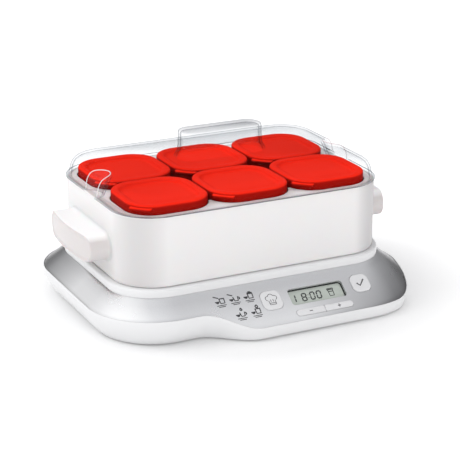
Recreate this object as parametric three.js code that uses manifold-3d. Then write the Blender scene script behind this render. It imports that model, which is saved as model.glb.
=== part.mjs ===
// Yogurt maker: a heated base with a sloped silver control panel, a lift-out tray with two
// side handles, six glass jars with red lids, and a clear cover with a raised grip.
// Millimetres, +Z up. The origin is on the floor, in the middle of the base's footprint.
import * as THREE from 'three';
import { mergeVertices } from 'three/addons/utils/BufferGeometryUtils.js';
import Module from 'manifold-3d';

// ---- Driving dimensions -------------------------------------------------------------------

const GAP = 0.3; // clearance kept between pieces that touch
const JAR_PITCH = 80;
const COLUMNS = [-1, 0, 1];
const ROWS = [-0.5, 0.5];

// The base is planned as offsets from the outline of its raised collar.
const COLLAR = { width: 270, depth: 187, radius: 43.5, top: 48.5, foot: 41.5 };
const BAND_WIDTH = 19.7; // silver band at the sides and the back, in plan
const BULGE_WIDTH = 38; // silver band at the control panel, in plan
const SWEEP_START = -72; // the front edge swings out to the control panel from here ...
const SWEEP_END = -22; // ... to here
const TURN_START = THREE.MathUtils.degToRad(20); // and back in round the right front corner, ...
const TURN_END = THREE.MathUtils.degToRad(75); // ... between these directions from the front
const SLOPE = Math.atan(0.757); // fall of the silver band
const WALL = 2.2; // moulded wall of the base
const LIP = 1.1; // white edge outside the silver band
const TUCK = 0.0192; // the base's wall tucks in by this times its depth squared
const BASE_BOTTOM = 1.5; // the casing stops just above the floor, on its feet
const BOTTOM_PLATE = 2.4;
const PANEL_THICKNESS = 1.2;

const WELL_INSET = 8.5; // from the collar's outline in to the well that takes the tray
const LEDGE_INSET = 17; // and on to the heater's opening
const LEDGE_TOP = 41;
const LEDGE_THICKNESS = 2.2;
const HEATER_THICKNESS = 1.7;

const TRAY = { width: 261, depth: 178, radius: 39, floor: 43.6, seat: 48.8, rim: 113.1 };
const TRAY_WALL = 2.6;
const TRAY_STEP = 5; // the tray's floor steps in by this to drop into the well
const TRAY_LEDGE = 2.2; // thickness of the ledge that the cover stands on
const LID_HOLE = { width: 80, depth: 80, radius: 26.7 }; // the ledge is scalloped round the lids
const TRAY_MOUTH = { width: 202, depth: 122, radius: 3 }; // and open between them
const HEAT_OPENING_RADIUS = 23;

const HANDLE = { halfLength: 49, height: 25, middle: 77, reach: 155, bulge: 5, edge: 4 };

const JAR = { size: 74, radius: 24, bottom: 46.3, top: 119.2, wall: 3.8, base: 4.7 };
const LID = { size: 78, radius: 25.7, top: 121.5, skirt: 12, rim: 7.4, recess: 3 };
const TAB = { length: 19, width: 3.4, thickness: 2.8, reach: 45.4, angle: THREE.MathUtils.degToRad(-135) };

const COVER = { width: 263, depth: 180, radius: 40, seat: 113.4, shoulder: 131.4, crown: 137.6 };
const COVER_WALL = 2;
const GRIP = { halfLength: 41.3, halfWidth: 13.8, top: 161, wall: 2 };
const NOTCH = { radius: 14, depth: 11, lean: 9 };

// Controls on the panel: x across, down = distance down the slope from the collar.
const WINDOW = { x: 43, down: 22.9, width: 56, height: 17, radius: 3 };
const PROGRAM_BUTTON = { x: -3.3, down: 22.1, width: 19.7, height: 19.7, radius: 6 };
const OK_BUTTON = { x: 88.5, down: 21.3, width: 18.5, height: 18.5, radius: 6 };
const KEY_BAR = { x: 43.75, down: 40.1, width: 57.5, height: 6.3, radius: 3 };

// Depths below the panel's face, measured square to it.
const BED_DEPTH = PANEL_THICKNESS + GAP;
const BED_BOTTOM = BED_DEPTH + WALL;
const BUTTON_PROUD = 1;
const FLANGE_TOP = BED_BOTTOM + GAP;
const FLANGE_BOTTOM = FLANGE_TOP + 1;
const SWITCH_TOP = 6.8;
const BOARD_TOP = 10.7;
const BOARD_THICKNESS = 1.6;

const LEAD_STEPS = 14;

// ---- Positions worked out from them -------------------------------------------------------

const CENTRE_Y = (BULGE_WIDTH - BAND_WIDTH) / 2; // middle of the collar, tray and cover
const COLLAR_FRONT = CENTRE_Y - COLLAR.depth / 2;
const PLUMB = 1 / Math.cos(SLOPE); // turns a thickness square to the slope into a height
const FLOOR_TOP = BASE_BOTTOM + BOTTOM_PLATE;
const TRAY_FLOOR_TOP = TRAY.floor + 2.4;
const SHIELD_BOTTOM = 34.4;

// ---- Solids -------------------------------------------------------------------------------

const wasm = await Module();
wasm.setup();

/** A closed geometry as a manifold solid. */
function solid(geometry) {
  const bare = geometry.clone().deleteAttribute('normal').deleteAttribute('uv');
  const merged = mergeVertices(bare, 1e-4);
  const vertProperties = new Float32Array(merged.attributes.position.array);
  const triVerts = new Uint32Array(merged.index.array);
  return new wasm.Manifold(new wasm.Mesh({ numProp: 3, vertProperties, triVerts }));
}

/** A manifold solid as a geometry with flat faces. */
function geometryOf(manifold) {
  const mesh = manifold.getMesh();
  const geometry = new THREE.BufferGeometry();
  geometry.setAttribute('position', new THREE.BufferAttribute(new Float32Array(mesh.vertProperties), 3));
  geometry.setIndex(new THREE.BufferAttribute(new Uint32Array(mesh.triVerts), 1));
  return geometry;
}

/** The first geometry with the others joined to it. */
function join(first, ...others) {
  return geometryOf(others.reduce((sum, other) => sum.add(solid(other)), solid(first)));
}

/** The first geometry with the others cut out of it. */
function cut(first, ...cutters) {
  return geometryOf(cutters.reduce((rest, cutter) => rest.subtract(solid(cutter)), solid(first)));
}

/**
 * Stretches faces from ring to ring. Rings run anticlockwise seen from above, and follow the
 * section up its outer side first. An open run of rings is closed by a fan at each end.
 */
function loft(rings, ringIsLoop = false) {
  const count = rings[0].length;
  const positions = rings.flat().flatMap((point) => [point.x, point.y, point.z]);
  const indices = [];
  const spans = ringIsLoop ? rings.length : rings.length - 1;
  for (let span = 0; span < spans; span++) {
    const near = span * count;
    const far = ((span + 1) % rings.length) * count;
    for (let i = 0; i < count; i++) {
      const next = (i + 1) % count;
      indices.push(near + i, near + next, far + next, near + i, far + next, far + i);
    }
  }
  if (!ringIsLoop) {
    addFan(positions, indices, rings[0], 0, true);
    addFan(positions, indices, rings.at(-1), (rings.length - 1) * count, false);
  }
  const geometry = new THREE.BufferGeometry();
  geometry.setAttribute('position', new THREE.Float32BufferAttribute(positions, 3));
  geometry.setIndex(indices);
  return geometry;
}

/** Closes one end of a loft with a fan round the ring's middle. */
function addFan(positions, indices, ring, offset, facesBack) {
  const middle = new THREE.Vector3();
  for (const point of ring) middle.addScaledVector(point, 1 / ring.length);
  const hub = positions.length / 3;
  positions.push(middle.x, middle.y, middle.z);
  for (let i = 0; i < ring.length; i++) {
    const next = (i + 1) % ring.length;
    if (facesBack) indices.push(hub, offset + next, offset + i);
    else indices.push(hub, offset + i, offset + next);
  }
}

/** Points of a rounded rectangle, anticlockwise, each with its outward direction. */
function roundedRectangle({ width, depth, radius }, arcSteps) {
  const points = [];
  for (let corner = 0; corner < 4; corner++) {
    const sideX = corner === 0 || corner === 3 ? 1 : -1;
    const sideY = corner < 2 ? 1 : -1;
    for (let step = 0; step <= arcSteps; step++) {
      const angle = ((corner + step / arcSteps) * Math.PI) / 2;
      const nx = Math.cos(angle);
      const ny = Math.sin(angle);
      const x = sideX * (width / 2 - radius) + radius * nx;
      const y = sideY * (depth / 2 - radius) + radius * ny;
      const last = points.at(-1);
      if (!last || Math.hypot(x - last.x, y - last.y) > 0.01) points.push({ x, y, nx, ny });
    }
  }
  const first = points[0];
  const last = points.at(-1);
  if (Math.hypot(first.x - last.x, first.y - last.y) < 0.01) points.pop();
  return points;
}

/** An outline pulled in by inset and lifted to a height. */
function ring(outline, inset, z) {
  return outline.map((p) => new THREE.Vector3(p.x - p.nx * inset, p.y - p.ny * inset, z));
}

/** A solid with one outline and a section of [inset, height] pairs, closed at both ends. */
function turnedShell(outline, section) {
  return loft(section.map(([inset, z]) => ring(outline, inset, z)));
}

/** A rounded rectangular block standing on z = bottom. */
function roundedBlock(size, bottom, top, arcSteps = 3) {
  return turnedShell(roundedRectangle(size, arcSteps), [[0, bottom], [0, top]]);
}

function box(width, depth, height, x, y, bottom) {
  return new THREE.BoxGeometry(width, depth, height).translate(x, y, bottom + height / 2);
}

/** An upright cylinder from bottom to top. */
function post(radius, bottom, top, x, y, segments = 16) {
  const geometry = new THREE.CylinderGeometry(radius, radius, top - bottom, segments);
  return geometry.rotateX(Math.PI / 2).translate(x, y, (bottom + top) / 2);
}

/** A body of revolution about Z from [radius, height] pairs that start and end on the axis. */
function turned(profile, segments = 16) {
  const points = profile.map(([radius, height]) => new THREE.Vector2(radius, height));
  return new THREE.LatheGeometry(points, segments).rotateX(Math.PI / 2);
}

/** A lead with the given section along a smooth curve through its points. */
function lead(section, points) {
  const extrudePath = new THREE.CatmullRomCurve3(points.map((point) => new THREE.Vector3(...point)));
  return new THREE.ExtrudeGeometry(section, { steps: LEAD_STEPS, extrudePath, bevelEnabled: false });
}

/** Section of a round wire. */
function wireSection(radius, sides = 5) {
  const angles = Array.from({ length: sides }, (_, i) => ((i + 0.5) / sides) * Math.PI * 2);
  return new THREE.Shape(angles.map((a) => new THREE.Vector2(radius * Math.cos(a), radius * Math.sin(a))));
}

/** Section of a flat ribbon. */
function ribbonSection(width, thickness) {
  const corners = [[1, 1], [-1, 1], [-1, -1], [1, -1]];
  return new THREE.Shape(corners.map(([x, y]) => new THREE.Vector2((x * thickness) / 2, (y * width) / 2)));
}

// ---- The object ---------------------------------------------------------------------------

const finish = (color, roughness, more = {}) =>
  new THREE.MeshStandardMaterial({ color, roughness, ...more });
const seeThrough = (opacity) => ({ transparent: true, opacity });

const MATERIALS = {
  whitePlastic: finish(0xf1f1f2, 0.3),
  silverPanel: finish(0xb9bbc0, 0.35, { metalness: 0.6 }),
  trayPlastic: finish(0xf3f0f0, 0.35),
  redPlastic: finish(0xe0301e, 0.4),
  glass: finish(0xe8f0ee, 0.05, seeThrough(0.4)),
  clearPlastic: finish(0xf4f7f8, 0.05, seeThrough(0.3)),
  rubber: finish(0x3a3a3c, 0.9),
  steel: finish(0xb5b7ba, 0.35, { metalness: 0.9 }),
  aluminium: finish(0xcfd1d4, 0.4, { metalness: 0.9 }),
  fibre: finish(0xe6e2d6, 1),
  board: finish(0x2f6b3c, 0.6),
  blackPlastic: finish(0x222326, 0.5),
  element: finish(0x9a6a3a, 0.5, { metalness: 0.5 }),
  leadCover: finish(0x8a4a2a, 0.6),
};

const yogurtMaker = new THREE.Group();
yogurtMaker.name = 'yogurt_maker';

/** Pieces above the collar share its middle. */
const centred = new THREE.Group();
centred.position.y = CENTRE_Y;

/** Pieces behind the control panel: x across, y up the slope, z out of the panel's face. */
const panel = new THREE.Group();
panel.position.set(0, COLLAR_FRONT, COLLAR.foot);
panel.rotation.x = SLOPE;
panel.updateMatrixWorld();
yogurtMaker.add(centred, panel);

function addPiece(parent, name, geometry, material) {
  const mesh = new THREE.Mesh(geometry, material);
  mesh.name = name;
  parent.add(mesh);
  return mesh;
}

// ---- Base casing --------------------------------------------------------------------------

const smooth = (value) => THREE.MathUtils.smoothstep(value, 0, 1);

/** Plan width of the silver band where the collar's outline has this point and direction. */
function bandWidth({ x, nx, ny }) {
  if (ny >= 0) return BAND_WIDTH;
  const sweep = smooth((x - SWEEP_START) / (SWEEP_END - SWEEP_START));
  const direction = Math.atan2(nx, -ny);
  const turn = smooth((direction - TURN_START) / (TURN_END - TURN_START));
  return BAND_WIDTH + (BULGE_WIDTH - BAND_WIDTH) * sweep * (1 - turn);
}

/** The collar's outline, with extra points along the sweep of the front edge. */
function baseOutline() {
  const corners = roundedRectangle(COLLAR, 6);
  const firstFrontPoint = corners.findIndex((p) => p.ny < -0.9999 && p.x < 0);
  const sweep = [];
  const steps = 6;
  for (let step = 0; step <= steps; step++) {
    const x = SWEEP_START + ((SWEEP_END - SWEEP_START) * step) / steps;
    sweep.push({ x, y: -COLLAR.depth / 2, nx: 0, ny: -1 });
  }
  corners.splice(firstFrontPoint + 1, 0, ...sweep);
  return corners.map((p) => ({ ...p, band: bandWidth(p), y: p.y + CENTRE_Y }));
}

const BASE_OUTLINE = baseOutline();

/** Height of the panel's face at a distance outside the collar. */
const faceHeight = (out) => COLLAR.foot - Math.tan(SLOPE) * out;

/** The casing's outer wall at a depth below its edge: [distance outside the collar, height]. */
function casingWall(band, share) {
  const edge = faceHeight(band) - 0.6;
  const depth = (edge - BASE_BOTTOM) * share;
  return [band + LIP - TUCK * depth * depth, edge - depth];
}

/** A point of the base at a distance outside the collar's outline. */
const beside = (p, out, z) => new THREE.Vector3(p.x + p.nx * out, p.y + p.ny * out, z);

/** Rings round the base, for a section of [out, height] pairs that depends on the band's width. */
function baseRings(sectionAt) {
  const sections = BASE_OUTLINE.map((p) => sectionAt(p.band));
  return sections[0].map((_, k) => BASE_OUTLINE.map((p, i) => beside(p, ...sections[i][k])));
}

/** Collar, well, sloped bed and outer wall of the casing, anticlockwise from the wall's foot. */
function casingSection(band) {
  const bedTop = (out) => faceHeight(out) - BED_DEPTH * PLUMB;
  const bedBottom = (out) => faceHeight(out) - BED_BOTTOM * PLUMB;
  const outer = [1, 2 / 3, 1 / 3, 0].map((share) => casingWall(band, share));
  const inner = outer.slice(0, 3).map(([out, z]) => [out - WALL, z]).reverse();
  const chamfer = 1.6;
  return [
    ...outer,
    [band + GAP, faceHeight(band)],
    [band + GAP, bedTop(band + GAP)],
    [0, bedTop(0)],
    [0, COLLAR.top - chamfer],
    [-chamfer, COLLAR.top],
    [-WELL_INSET, COLLAR.top],
    [-WELL_INSET, LEDGE_TOP],
    [-LEDGE_INSET, LEDGE_TOP],
    [-LEDGE_INSET, LEDGE_TOP - LEDGE_THICKNESS],
    [WALL - WELL_INSET, LEDGE_TOP - LEDGE_THICKNESS],
    [WALL - WELL_INSET, COLLAR.top - WALL],
    [-WALL, COLLAR.top - WALL],
    [-WALL, bedBottom(-WALL)],
    [band - 2, bedBottom(band - 2)],
    ...inner,
  ];
}

/** Places a geometry made in the panel's coordinates in the object's. */
const inPanel = (geometry) => geometry.applyMatrix4(panel.matrix);

/** A rounded block square to the panel, between two depths below its face. */
function panelBlock({ x, down, width, height, radius }, grow, topDepth, bottomDepth, arcSteps = 3) {
  const size = { width: width + 2 * grow, depth: height + 2 * grow, radius: radius + grow };
  return roundedBlock(size, -bottomDepth, -topDepth, arcSteps).translate(x, -down, 0);
}

const CONTROL_OPENINGS = [WINDOW, PROGRAM_BUTTON, OK_BUTTON, KEY_BAR];
const SCREW_PLACES = [-1, 1].flatMap((side) => [-1, 1].map((end) => [side * 122.3, CENTRE_Y + end * 44]));
const FOOT_PLACES = [[-104, -62], [104, -78], [-104, 84], [104, 84]];
const BOSS_RADIUS = 4;
const PILOT_RADIUS = 1.9;
const SCREW_HEAD_HOLE = 3.6;
const FOOT_SEAT = { radius: 8.5, depth: 1.2, hole: 3.3 };
const VENTS = { count: 6, width: 3, length: 44, pitch: 8, x: 30, y: 50 };
const INLET = { x: 62, z: 14, flangeRadius: 7, bodyRadius: 5, boreRadius: 3.4, face: 115, tail: 100 };

/** The white casing, with its screw bosses, the cord inlet's boss, and the control openings. */
function casing() {
  const bosses = SCREW_PLACES.map(([x, y]) => post(BOSS_RADIUS, FLOOR_TOP + GAP, LEDGE_TOP - 1, x, y, 12));
  const inletBoss = box(24, 12, 15, INLET.x, INLET.face - 5, INLET.z - 7);
  const shell = join(loft(baseRings(casingSection), true), ...bosses, inletBoss);
  const pilots = SCREW_PLACES.map(([x, y]) => post(PILOT_RADIUS, 0, 20, x, y, 12));
  const windows = CONTROL_OPENINGS.map((opening) => {
    const grow = opening === WINDOW ? 1 : GAP;
    return inPanel(panelBlock(opening, grow, -2, BED_BOTTOM + 4));
  });
  const flats = CONTROL_OPENINGS.map((opening) =>
    inPanel(panelBlock(opening, 2.5, BED_BOTTOM, BED_BOTTOM + 6)),
  );
  const alongY = (radius, from, to) =>
    new THREE.CylinderGeometry(radius, radius, to - from, 20).translate(INLET.x, (from + to) / 2, INLET.z);
  const inletHoles = [
    alongY(INLET.flangeRadius + GAP, INLET.face - GAP, 130),
    alongY(INLET.bodyRadius + GAP, 90, 130),
  ];
  return cut(shell, ...pilots, ...windows, ...flats, ...inletHoles);
}

/** The silver band lying on the casing's bed, with openings for the window and the buttons. */
function decoPanel() {
  const drop = PANEL_THICKNESS * PLUMB;
  const section = (band) => [
    [band, faceHeight(band) - drop],
    [band, faceHeight(band)],
    [GAP, faceHeight(GAP)],
    [GAP, faceHeight(GAP) - drop],
  ];
  const holes = CONTROL_OPENINGS.map((opening) => {
    const grow = opening === WINDOW ? 0 : GAP;
    return inPanel(panelBlock(opening, grow, -3, 6));
  });
  return cut(loft(baseRings(section), true), ...holes);
}

/** The floor of the base, with vents, screw holes, foot seats and four posts for the power board. */
function bottomCover() {
  const plate = baseRings((band) => {
    const out = casingWall(band, 1)[0] - WALL - 0.4;
    return [[out, BASE_BOTTOM], [out, FLOOR_TOP]];
  });
  const posts = boardPostPlaces().map(([x, y]) => post(3, FLOOR_TOP - 1, POWER_BOARD.bottom - GAP, x, y, 10));
  const holes = SCREW_PLACES.flatMap(([x, y]) => [
    post(PILOT_RADIUS, 0, 5, x, y, 10),
    post(SCREW_HEAD_HOLE, 0, BASE_BOTTOM + 1.7, x, y, 10),
  ]);
  const seats = FOOT_PLACES.flatMap(([x, y]) => [
    post(FOOT_SEAT.radius, 0, BASE_BOTTOM + FOOT_SEAT.depth, x, y, 14),
    post(FOOT_SEAT.hole, 0, 5, x, y, 10),
  ]);
  const vents = [];
  for (let i = 0; i < VENTS.count; i++) {
    vents.push(box(VENTS.width, VENTS.length, 10, VENTS.x + i * VENTS.pitch, VENTS.y, -2));
  }
  return cut(join(loft(plate), ...posts), ...holes, ...seats, ...vents);
}

const screw = () => turned([[0, 1.8], [3.2, 1.8], [3.2, 2.9], [1.5, 2.9], [1.5, 15], [0, 17]], 10);
const foot = () =>
  turned([[0, 0], [7, 0], [8, 0.8], [8, 2.4], [3, 2.4], [3, 4.2], [4.2, 4.2], [3, 6], [0, 6]], 14);

/** Flanged bush in the back wall, through which the mains lead enters. */
function cordInlet() {
  const { flangeRadius, bodyRadius, boreRadius, face, tail } = INLET;
  const section = [
    [boreRadius, face + 3],
    [boreRadius, tail],
    [bodyRadius, tail],
    [bodyRadius, face],
    [flangeRadius, face],
    [flangeRadius, face + 2],
    [flangeRadius - 1, face + 3],
    [boreRadius, face + 3],
  ];
  const points = section.map(([radius, y]) => new THREE.Vector2(radius, y));
  return new THREE.LatheGeometry(points, 14).translate(INLET.x, 0, INLET.z);
}

// ---- Heater -------------------------------------------------------------------------------

const COLLAR_OUTLINE = roundedRectangle(COLLAR, 4);
const ELEMENT = { passes: 6, length: 206, bar: 9, pitch: 22, bottom: 39.6, top: 41 };

/** The flat heating element: bars side by side, joined end to end in a zigzag. */
function heatingElement() {
  const height = ELEMENT.top - ELEMENT.bottom;
  const pieces = [];
  for (let pass = 0; pass < ELEMENT.passes; pass++) {
    const y = (pass - (ELEMENT.passes - 1) / 2) * ELEMENT.pitch;
    pieces.push(box(ELEMENT.length, ELEMENT.bar, height, 0, y, ELEMENT.bottom));
    if (pass === ELEMENT.passes - 1) break;
    const side = pass % 2 === 0 ? 1 : -1;
    const x = (side * (ELEMENT.length - ELEMENT.bar)) / 2;
    pieces.push(box(ELEMENT.bar, ELEMENT.pitch, height, x, y + ELEMENT.pitch / 2, ELEMENT.bottom));
  }
  return join(...pieces);
}

const elementEnd = (side) => [-(ELEMENT.length / 2 - 5), (side * (ELEMENT.passes - 1) * ELEMENT.pitch) / 2];

/** Holes through the pad and the shield for the sensor and the two heater leads. */
function heaterHoles() {
  const ends = [-1, 1].map((side) => post(3, 30, 45, ...elementEnd(side), 12));
  return [post(3.2, 30, 45, 0, 0, 12), ...ends];
}

function heatShield() {
  const pan = turnedShell(COLLAR_OUTLINE, [
    [LEDGE_INSET + 2.2, SHIELD_BOTTOM],
    [LEDGE_INSET + 1, SHIELD_BOTTOM + 1],
    [LEDGE_INSET + 1, ELEMENT.top],
    [LEDGE_INSET + 1.8, ELEMENT.top],
    [LEDGE_INSET + 1.8, SHIELD_BOTTOM + 1.3],
    [LEDGE_INSET + 2.6, SHIELD_BOTTOM + 0.8],
  ]);
  return cut(pan, ...heaterHoles());
}

function insulationPad() {
  const pad = turnedShell(COLLAR_OUTLINE, [
    [LEDGE_INSET + 3, SHIELD_BOTTOM + 1.2],
    [LEDGE_INSET + 3, ELEMENT.bottom - GAP],
  ]);
  return cut(pad, ...heaterHoles());
}

function addHeater() {
  const plate = turnedShell(COLLAR_OUTLINE, [
    [WELL_INSET + 1.5, LEDGE_TOP + GAP],
    [WELL_INSET + 1.5, LEDGE_TOP + GAP + HEATER_THICKNESS],
  ]);
  addPiece(centred, 'heater_plate', plate, MATERIALS.aluminium);
  addPiece(centred, 'heating_element', heatingElement(), MATERIALS.element);
  addPiece(centred, 'insulation_pad', insulationPad(), MATERIALS.fibre);
  addPiece(centred, 'heat_shield', heatShield(), MATERIALS.steel);
  const sensor = turned([[0, 27], [2.8, 27], [2.8, 39], [1.6, 41], [0, 41]], 12);
  addPiece(centred, 'temperature_sensor', sensor, MATERIALS.steel);
  const fuse = new THREE.CylinderGeometry(2, 2, 13, 12).rotateZ(Math.PI / 2);
  addPiece(centred, 'thermal_fuse', fuse.translate(-30, 20, SHIELD_BOTTOM - GAP - 2), MATERIALS.steel);
}

// ---- Electronics --------------------------------------------------------------------------

const POWER_BOARD = { x: -62, y: 52, width: 92, depth: 56, bottom: 9, thickness: 1.6 };
const POWER_TOP = POWER_BOARD.bottom + POWER_BOARD.thickness + GAP;

function boardPostPlaces() {
  const { x, y, width, depth } = POWER_BOARD;
  const [besideX, besideY] = [width / 2 - 5, depth / 2 - 5];
  return [-1, 1].flatMap((side) => [-1, 1].map((end) => [x + side * besideX, y + end * besideY]));
}

/** Places of the parts on the power board, from its middle. */
const ON_BOARD = { transformer: [-18, -8], relay: [20, -16], capacitor: [8, 2], terminals: [24, 18] };
const boardPlace = (part) => [POWER_BOARD.x + ON_BOARD[part][0], POWER_BOARD.y + ON_BOARD[part][1]];

/** Iron core with the bobbin through it. */
function transformer() {
  const core = box(36, 12, 20, ...boardPlace('transformer'), POWER_TOP);
  const bobbin = box(24, 26, 15, ...boardPlace('transformer'), POWER_TOP + 2.5);
  return join(core, bobbin);
}

/** Three-way block whose screws are reached from above. */
function terminalBlock() {
  const [x, y] = boardPlace('terminals');
  const wells = [-9, 0, 9].map((offset) => post(2.6, POWER_TOP + 8, 40, x + offset, y, 10));
  return cut(box(30, 11, 13, x, y, POWER_TOP), ...wells);
}

function addPowerBoard() {
  const { x, y, width, depth, bottom, thickness } = POWER_BOARD;
  addPiece(yogurtMaker, 'power_board', box(width, depth, thickness, x, y, bottom), MATERIALS.board);
  addPiece(yogurtMaker, 'transformer', transformer(), MATERIALS.blackPlastic);
  const relay = box(19, 15.5, 15, ...boardPlace('relay'), POWER_TOP);
  addPiece(yogurtMaker, 'relay', relay, MATERIALS.blackPlastic);
  const capacitor = post(5, POWER_TOP, POWER_TOP + 15, ...boardPlace('capacitor'), 16);
  addPiece(yogurtMaker, 'capacitor', capacitor, MATERIALS.steel);
  addPiece(yogurtMaker, 'terminal_block', terminalBlock(), MATERIALS.whitePlastic);
}

function addLeads() {
  const block = boardPlace('terminals');
  for (const [name, offset, lift] of [['live_lead', 0, 1.7], ['neutral_lead', 9, -1.7]]) {
    const points = [
      [INLET.x, INLET.tail - GAP, INLET.z + lift],
      [INLET.x, INLET.tail - 8, INLET.z + lift],
      [30, 86, 13 + lift],
      [block[0] + offset + 6, 86, 15 + lift],
      [block[0] + offset, block[1] + 7.4, POWER_TOP + 5],
    ];
    addPiece(yogurtMaker, name, lead(wireSection(1.2), points), MATERIALS.leadCover);
  }
  for (const [name, side] of [['heater_lead_front', -1], ['heater_lead_rear', 1]]) {
    const [x, y] = elementEnd(side);
    const landing = [POWER_BOARD.x - 41, POWER_BOARD.y + side * 22];
    const points = [
      [x, y + CENTRE_Y, ELEMENT.bottom - GAP],
      [x, y + CENTRE_Y, 31],
      [x - 4, (y + CENTRE_Y + landing[1]) / 2, 27],
      [landing[0], landing[1], 22],
      [landing[0], landing[1], POWER_TOP],
    ];
    addPiece(yogurtMaker, name, lead(wireSection(1.2), points), MATERIALS.leadCover);
  }
}

/** The board behind the panel, with the display and one switch under each button. */
function addControlBoard() {
  const board = { x: 43, down: 26, width: 124, height: 36, radius: 2 };
  const bottom = BOARD_TOP + BOARD_THICKNESS;
  addPiece(panel, 'control_board', panelBlock(board, 0, BOARD_TOP, bottom, 1), MATERIALS.board);
  const display = { ...WINDOW, width: 60, height: 21, radius: 1 };
  addPiece(panel, 'lcd_module', panelBlock(display, 0, 4.6, BOARD_TOP - GAP, 1), MATERIALS.blackPlastic);
  const lens = panelBlock(WINDOW, 0.7, BED_DEPTH, BED_DEPTH + 1.8);
  addPiece(panel, 'lcd_window', lens, MATERIALS.clearPlastic);
  const buzzer = post(6, -bottom - GAP - 6, -bottom - GAP, -6, -16, 16);
  addPiece(panel, 'buzzer', buzzer, MATERIALS.blackPlastic);
  for (const [name, x, down] of buttonPlaces()) {
    const body = box(6, 6, 3.2, x, -down, -BOARD_TOP + GAP);
    const plunger = post(1.7, -BOARD_TOP + GAP + 2, -SWITCH_TOP, x, -down, 10);
    addPiece(panel, `switch_${name}`, join(body, plunger), MATERIALS.blackPlastic);
  }
  const ribbon = [
    [20, -87, 19.5],
    [16, -66, 12],
    [2, -10, 12],
    [-12, 14, 22],
    [-21, 30, 24],
    [-22, 36, POWER_TOP + 5],
  ];
  addPiece(yogurtMaker, 'ribbon_cable', lead(ribbonSection(10, 1), ribbon), MATERIALS.fibre);
}

// ---- Buttons ------------------------------------------------------------------------------

/** Middle of the minus (-1) or plus (1) key, across the panel. */
const keyMiddle = (side) => KEY_BAR.x + (side * (KEY_BAR.width + GAP)) / 4;

function buttonPlaces() {
  return [
    ['program', PROGRAM_BUTTON.x, PROGRAM_BUTTON.down],
    ['ok', OK_BUTTON.x, OK_BUTTON.down],
    ['minus', keyMiddle(-1), KEY_BAR.down],
    ['plus', keyMiddle(1), KEY_BAR.down],
  ];
}

/** A cap that stands a little proud, on a flange that keeps it in. */
function capOnFlange({ x, down, width, height, radius }, flange) {
  const outline = roundedRectangle({ width, depth: height, radius }, 4);
  const cap = turnedShell(outline, [[0, -FLANGE_BOTTOM + 0.5], [0, BUTTON_PROUD - 0.5], [0.7, BUTTON_PROUD]]);
  return join(cap.translate(x, -down, 0), panelBlock(flange, 0, FLANGE_TOP, FLANGE_BOTTOM, 1));
}

/** The short stem under a cap that presses the switch. */
const stem = (x, down) => post(2.5, -FLANGE_BOTTOM - 0.5, -FLANGE_BOTTOM + 0.5, x, -down, 10);

function squareButton(cap) {
  const flange = { ...cap, width: cap.width + 2.4, height: cap.height + 2.4, radius: 3 };
  return join(capOnFlange(cap, flange), stem(cap.x, cap.down));
}

/** Half of the key bar: rounded at its outer end and square where the two keys meet. */
function keyBody(side) {
  const flange = { ...KEY_BAR, width: KEY_BAR.width + 1.6, height: KEY_BAR.height + 2, radius: 1 };
  const otherHalf = box(60, 40, 40, KEY_BAR.x - side * (30 - GAP / 2), -KEY_BAR.down, -30);
  const half = cut(capOnFlange({ ...KEY_BAR, radius: 2.9 }, flange), otherHalf);
  return join(half, stem(keyMiddle(side), KEY_BAR.down));
}

function addButtons() {
  addPiece(panel, 'button_program', squareButton(PROGRAM_BUTTON), MATERIALS.whitePlastic);
  addPiece(panel, 'button_ok', squareButton(OK_BUTTON), MATERIALS.whitePlastic);
  addPiece(panel, 'button_minus', keyBody(-1), MATERIALS.whitePlastic);
  addPiece(panel, 'button_plus', keyBody(1), MATERIALS.whitePlastic);
}

// ---- Tray ---------------------------------------------------------------------------------

/** A handle seen from the side is a slot shape; its outer face bulges a little in the middle. */
function handle(side) {
  const { halfLength, height, middle, reach, bulge, edge } = HANDLE;
  const outline = roundedRectangle({ width: 2 * halfLength, depth: height, radius: height / 2 - 0.5 }, 4);
  const ringAt = (inset, reachAt) => {
    const points = outline.map((p) => {
      const y = p.x - p.nx * inset;
      return new THREE.Vector3(side * reachAt(y), y, middle + p.y - p.ny * inset);
    });
    return side > 0 ? points : points.reverse();
  };
  const bulging = (setback) => (y) => reach - setback - bulge * (y / halfLength) ** 2;
  const body = loft([
    ringAt(0, () => TRAY.width / 2 + GAP),
    ringAt(0, bulging(edge)),
    ringAt(edge * 0.3, bulging(edge * 0.3)),
    ringAt(edge, bulging(0)),
  ]);
  return cut(body, handleHollow(side));
}

/** The hollow under a handle for the fingers, open below. */
function handleHollow(side) {
  const inner = TRAY.width / 2 + 3;
  const outer = HANDLE.reach - HANDLE.bulge - 4;
  const size = { width: outer - inner, depth: 2 * (HANDLE.halfLength - 11), radius: 5 };
  const top = HANDLE.middle + HANDLE.height / 2 - 4;
  return roundedBlock(size, HANDLE.middle - HANDLE.height, top).translate((side * (inner + outer)) / 2, 0, 0);
}

/** The flat ledge round the tray's mouth, scalloped to follow the lids. */
function trayLedge() {
  const top = TRAY.rim;
  const bottom = TRAY.rim - TRAY_LEDGE;
  const plate = turnedShell(roundedRectangle(TRAY, 6), [[1.2, bottom], [1.2, top - 0.4], [1.6, top]]);
  const scallops = jarPlaces().map(([x, y]) =>
    roundedBlock(LID_HOLE, bottom - 1, top + 1, 5).translate(x, y, 0),
  );
  return cut(plate, roundedBlock(TRAY_MOUTH, bottom - 1, top + 1, 1), ...scallops);
}

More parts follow.
